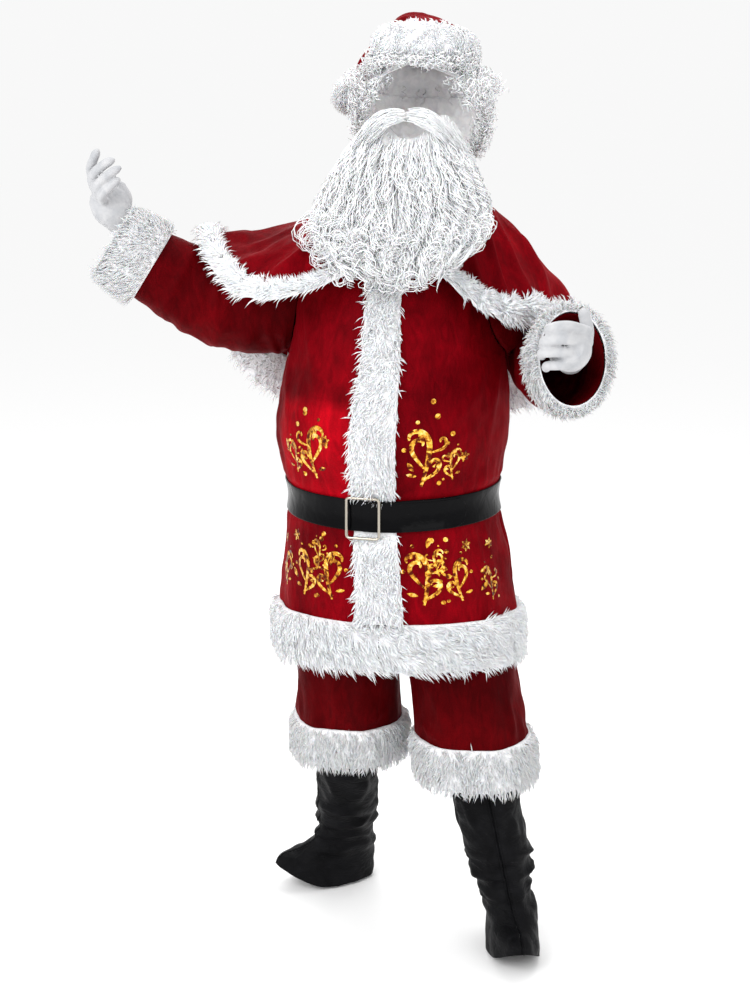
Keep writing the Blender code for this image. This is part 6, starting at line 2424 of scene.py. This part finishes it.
def pressed_on(name, text):
    """Lays motifs on the creased jacket.

    Each line has a kind, and in millimetres the place round the body from the centre front, the
    height and the size. A spray's hand or a leaf's heading in degrees comes last.
    """
    parts = []
    for line in text.strip().splitlines():
        kind, *numbers = line.split()
        numbers = np.array(numbers, float)
        parts.append(MOTIFS[kind](*numbers[:3] / 1000, *numbers[3:]))
    flat, faces = joined(parts)
    turn = np.degrees(flat[:, 0] / BODY_RADIUS)
    spots = layer(jacket_cloth, turn, flat[:, 1], FOIL_LIFT)
    return piece_from(name, spots, faces, "gold_foil")


FOIL_LEFT = """
spray 83 975 145 1
spray 145 985 80 -1
crystal 165 1030 10
dot 138 1075 4.5
leaf 70 1010 20 120
dot 100 1135 4.8
spray 75 738 150 1
spray 150 742 120 -1
spray 215 735 95 1
spray 110 800 75 -1
crystal 172 858 12
crystal 232 850 10
dot 200 800 5
dot 130 875 4.5
leaf 190 762 24 40
leaf 92 862 22 70
dot 245 790 4.5
dot 62 845 4
"""
FOIL_RIGHT = """
spray -110 980 135 -1
spray -165 985 85 1
crystal -85 1060 10
dot -135 1110 4.8
leaf -180 1030 20 100
dot -150 1082 4.5
spray -85 740 140 -1
spray -155 738 130 1
spray -215 745 100 -1
spray -120 812 70 1
crystal -185 862 12
crystal -240 842 10
dot -200 790 4.8
dot -105 880 4.5
leaf -175 775 24 130
dot -140 850 4.2
dot -235 790 4.5
"""
pressed_on("foil_left", FOIL_LEFT)
pressed_on("foil_right", FOIL_RIGHT)

# %% [markdown]
# ## Floor, light and camera
#
# A plain pale floor and large soft lights suit velvet: the sheen needs broad light to glow, and the
# white pile needs some shade to show its tufts. The camera stands a little to the suit's left side
# at eye height and looks slightly down.

# %% Floor
pale = finish("pale_floor", (1, 1, 1), 0.9, Specular_IOR_Level=0.0)[0]
floor_mesh = bpy.data.meshes.new("floor")
disc = bmesh.new()
bmesh.ops.create_circle(disc, cap_ends=True, segments=96, radius=40)
disc.to_mesh(floor_mesh)
disc.free()
floor = bpy.data.objects.new("floor", floor_mesh)
bpy.context.scene.collection.objects.link(floor)
floor.location.z = -SHOULDER_HEIGHT
floor_mesh.materials.append(pale)
floor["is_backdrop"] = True

world = bpy.data.worlds.new("studio")
bpy.context.scene.world = world
world.use_nodes = True
world.node_tree.nodes["Background"].inputs["Color"].default_value = (1, 1, 1, 1)
world.node_tree.nodes["Background"].inputs["Strength"].default_value = 0.94
bpy.context.scene.view_settings.view_transform = "Standard"
print("floor at", floor.location.z, "m")

# %% Lights
LIGHTS = (
    ("key", (-1.7, -3.0, 1.5), (0.0, 0.0, -0.35), 2.2, 86),
    ("fill", (2.6, -2.2, 0.5), (0.0, 0.0, -0.40), 2.4, 26),
    ("top", (0.2, 0.8, 2.6), (0.0, 0.0, -0.20), 2.0, 40),
    ("back", (-1.2, 2.8, 0.9), (0.0, 0.0, -0.30), 1.8, 24),
)
for name, spot, aim, size, power in LIGHTS:
    lamp = bpy.data.lights.new(name, "AREA")
    lamp.size = size
    lamp.energy = power
    light = bpy.data.objects.new(name, lamp)
    bpy.context.scene.collection.objects.link(light)
    light.location = spot
    light.rotation_euler = (Vector(aim) - Vector(spot)).to_track_quat("-Z", "Y").to_euler()
    print(f"{name} light: {power} W")

# %% Camera
CAMERA_TURN = math.radians(10.0)
CAMERA_PITCH = math.radians(13.0)
CAMERA_HEIGHT = 1.62
CAMERA_DISTANCE = 3.1
CAMERA_ASIDE = -0.0415
CAMERA_LENS = 59.26
lens_data = bpy.data.cameras.new("camera")
lens_data.sensor_width = 36.0
lens_data.lens = CAMERA_LENS
camera = bpy.data.objects.new("camera", lens_data)
bpy.context.scene.collection.objects.link(camera)
right = Vector((math.cos(CAMERA_TURN), math.sin(CAMERA_TURN), 0))
ahead = Vector((-math.sin(CAMERA_TURN), math.cos(CAMERA_TURN), 0))
look = ahead * math.cos(CAMERA_PITCH) - Vector((0, 0, 1)) * math.sin(CAMERA_PITCH)
camera.location = -ahead * CAMERA_DISTANCE + right * CAMERA_ASIDE
camera.location.z = CAMERA_HEIGHT - SHOULDER_HEIGHT
camera.rotation_euler = look.to_track_quat("-Z", "Y").to_euler()
bpy.context.scene.camera = camera
print("camera at", [round(value, 3) for value in camera.location])

# %% [markdown]
# ## Measure and finish
#
# The dressed suit has to stay the size of the model, so its size is printed, with the number of
# triangles in all.

# %% Write the sizes and finish
low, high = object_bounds()
print("triangles in all:", sum(triangles_made.values()))
print("dressed size", [round(b - a, 3) for a, b in zip(low, high)])
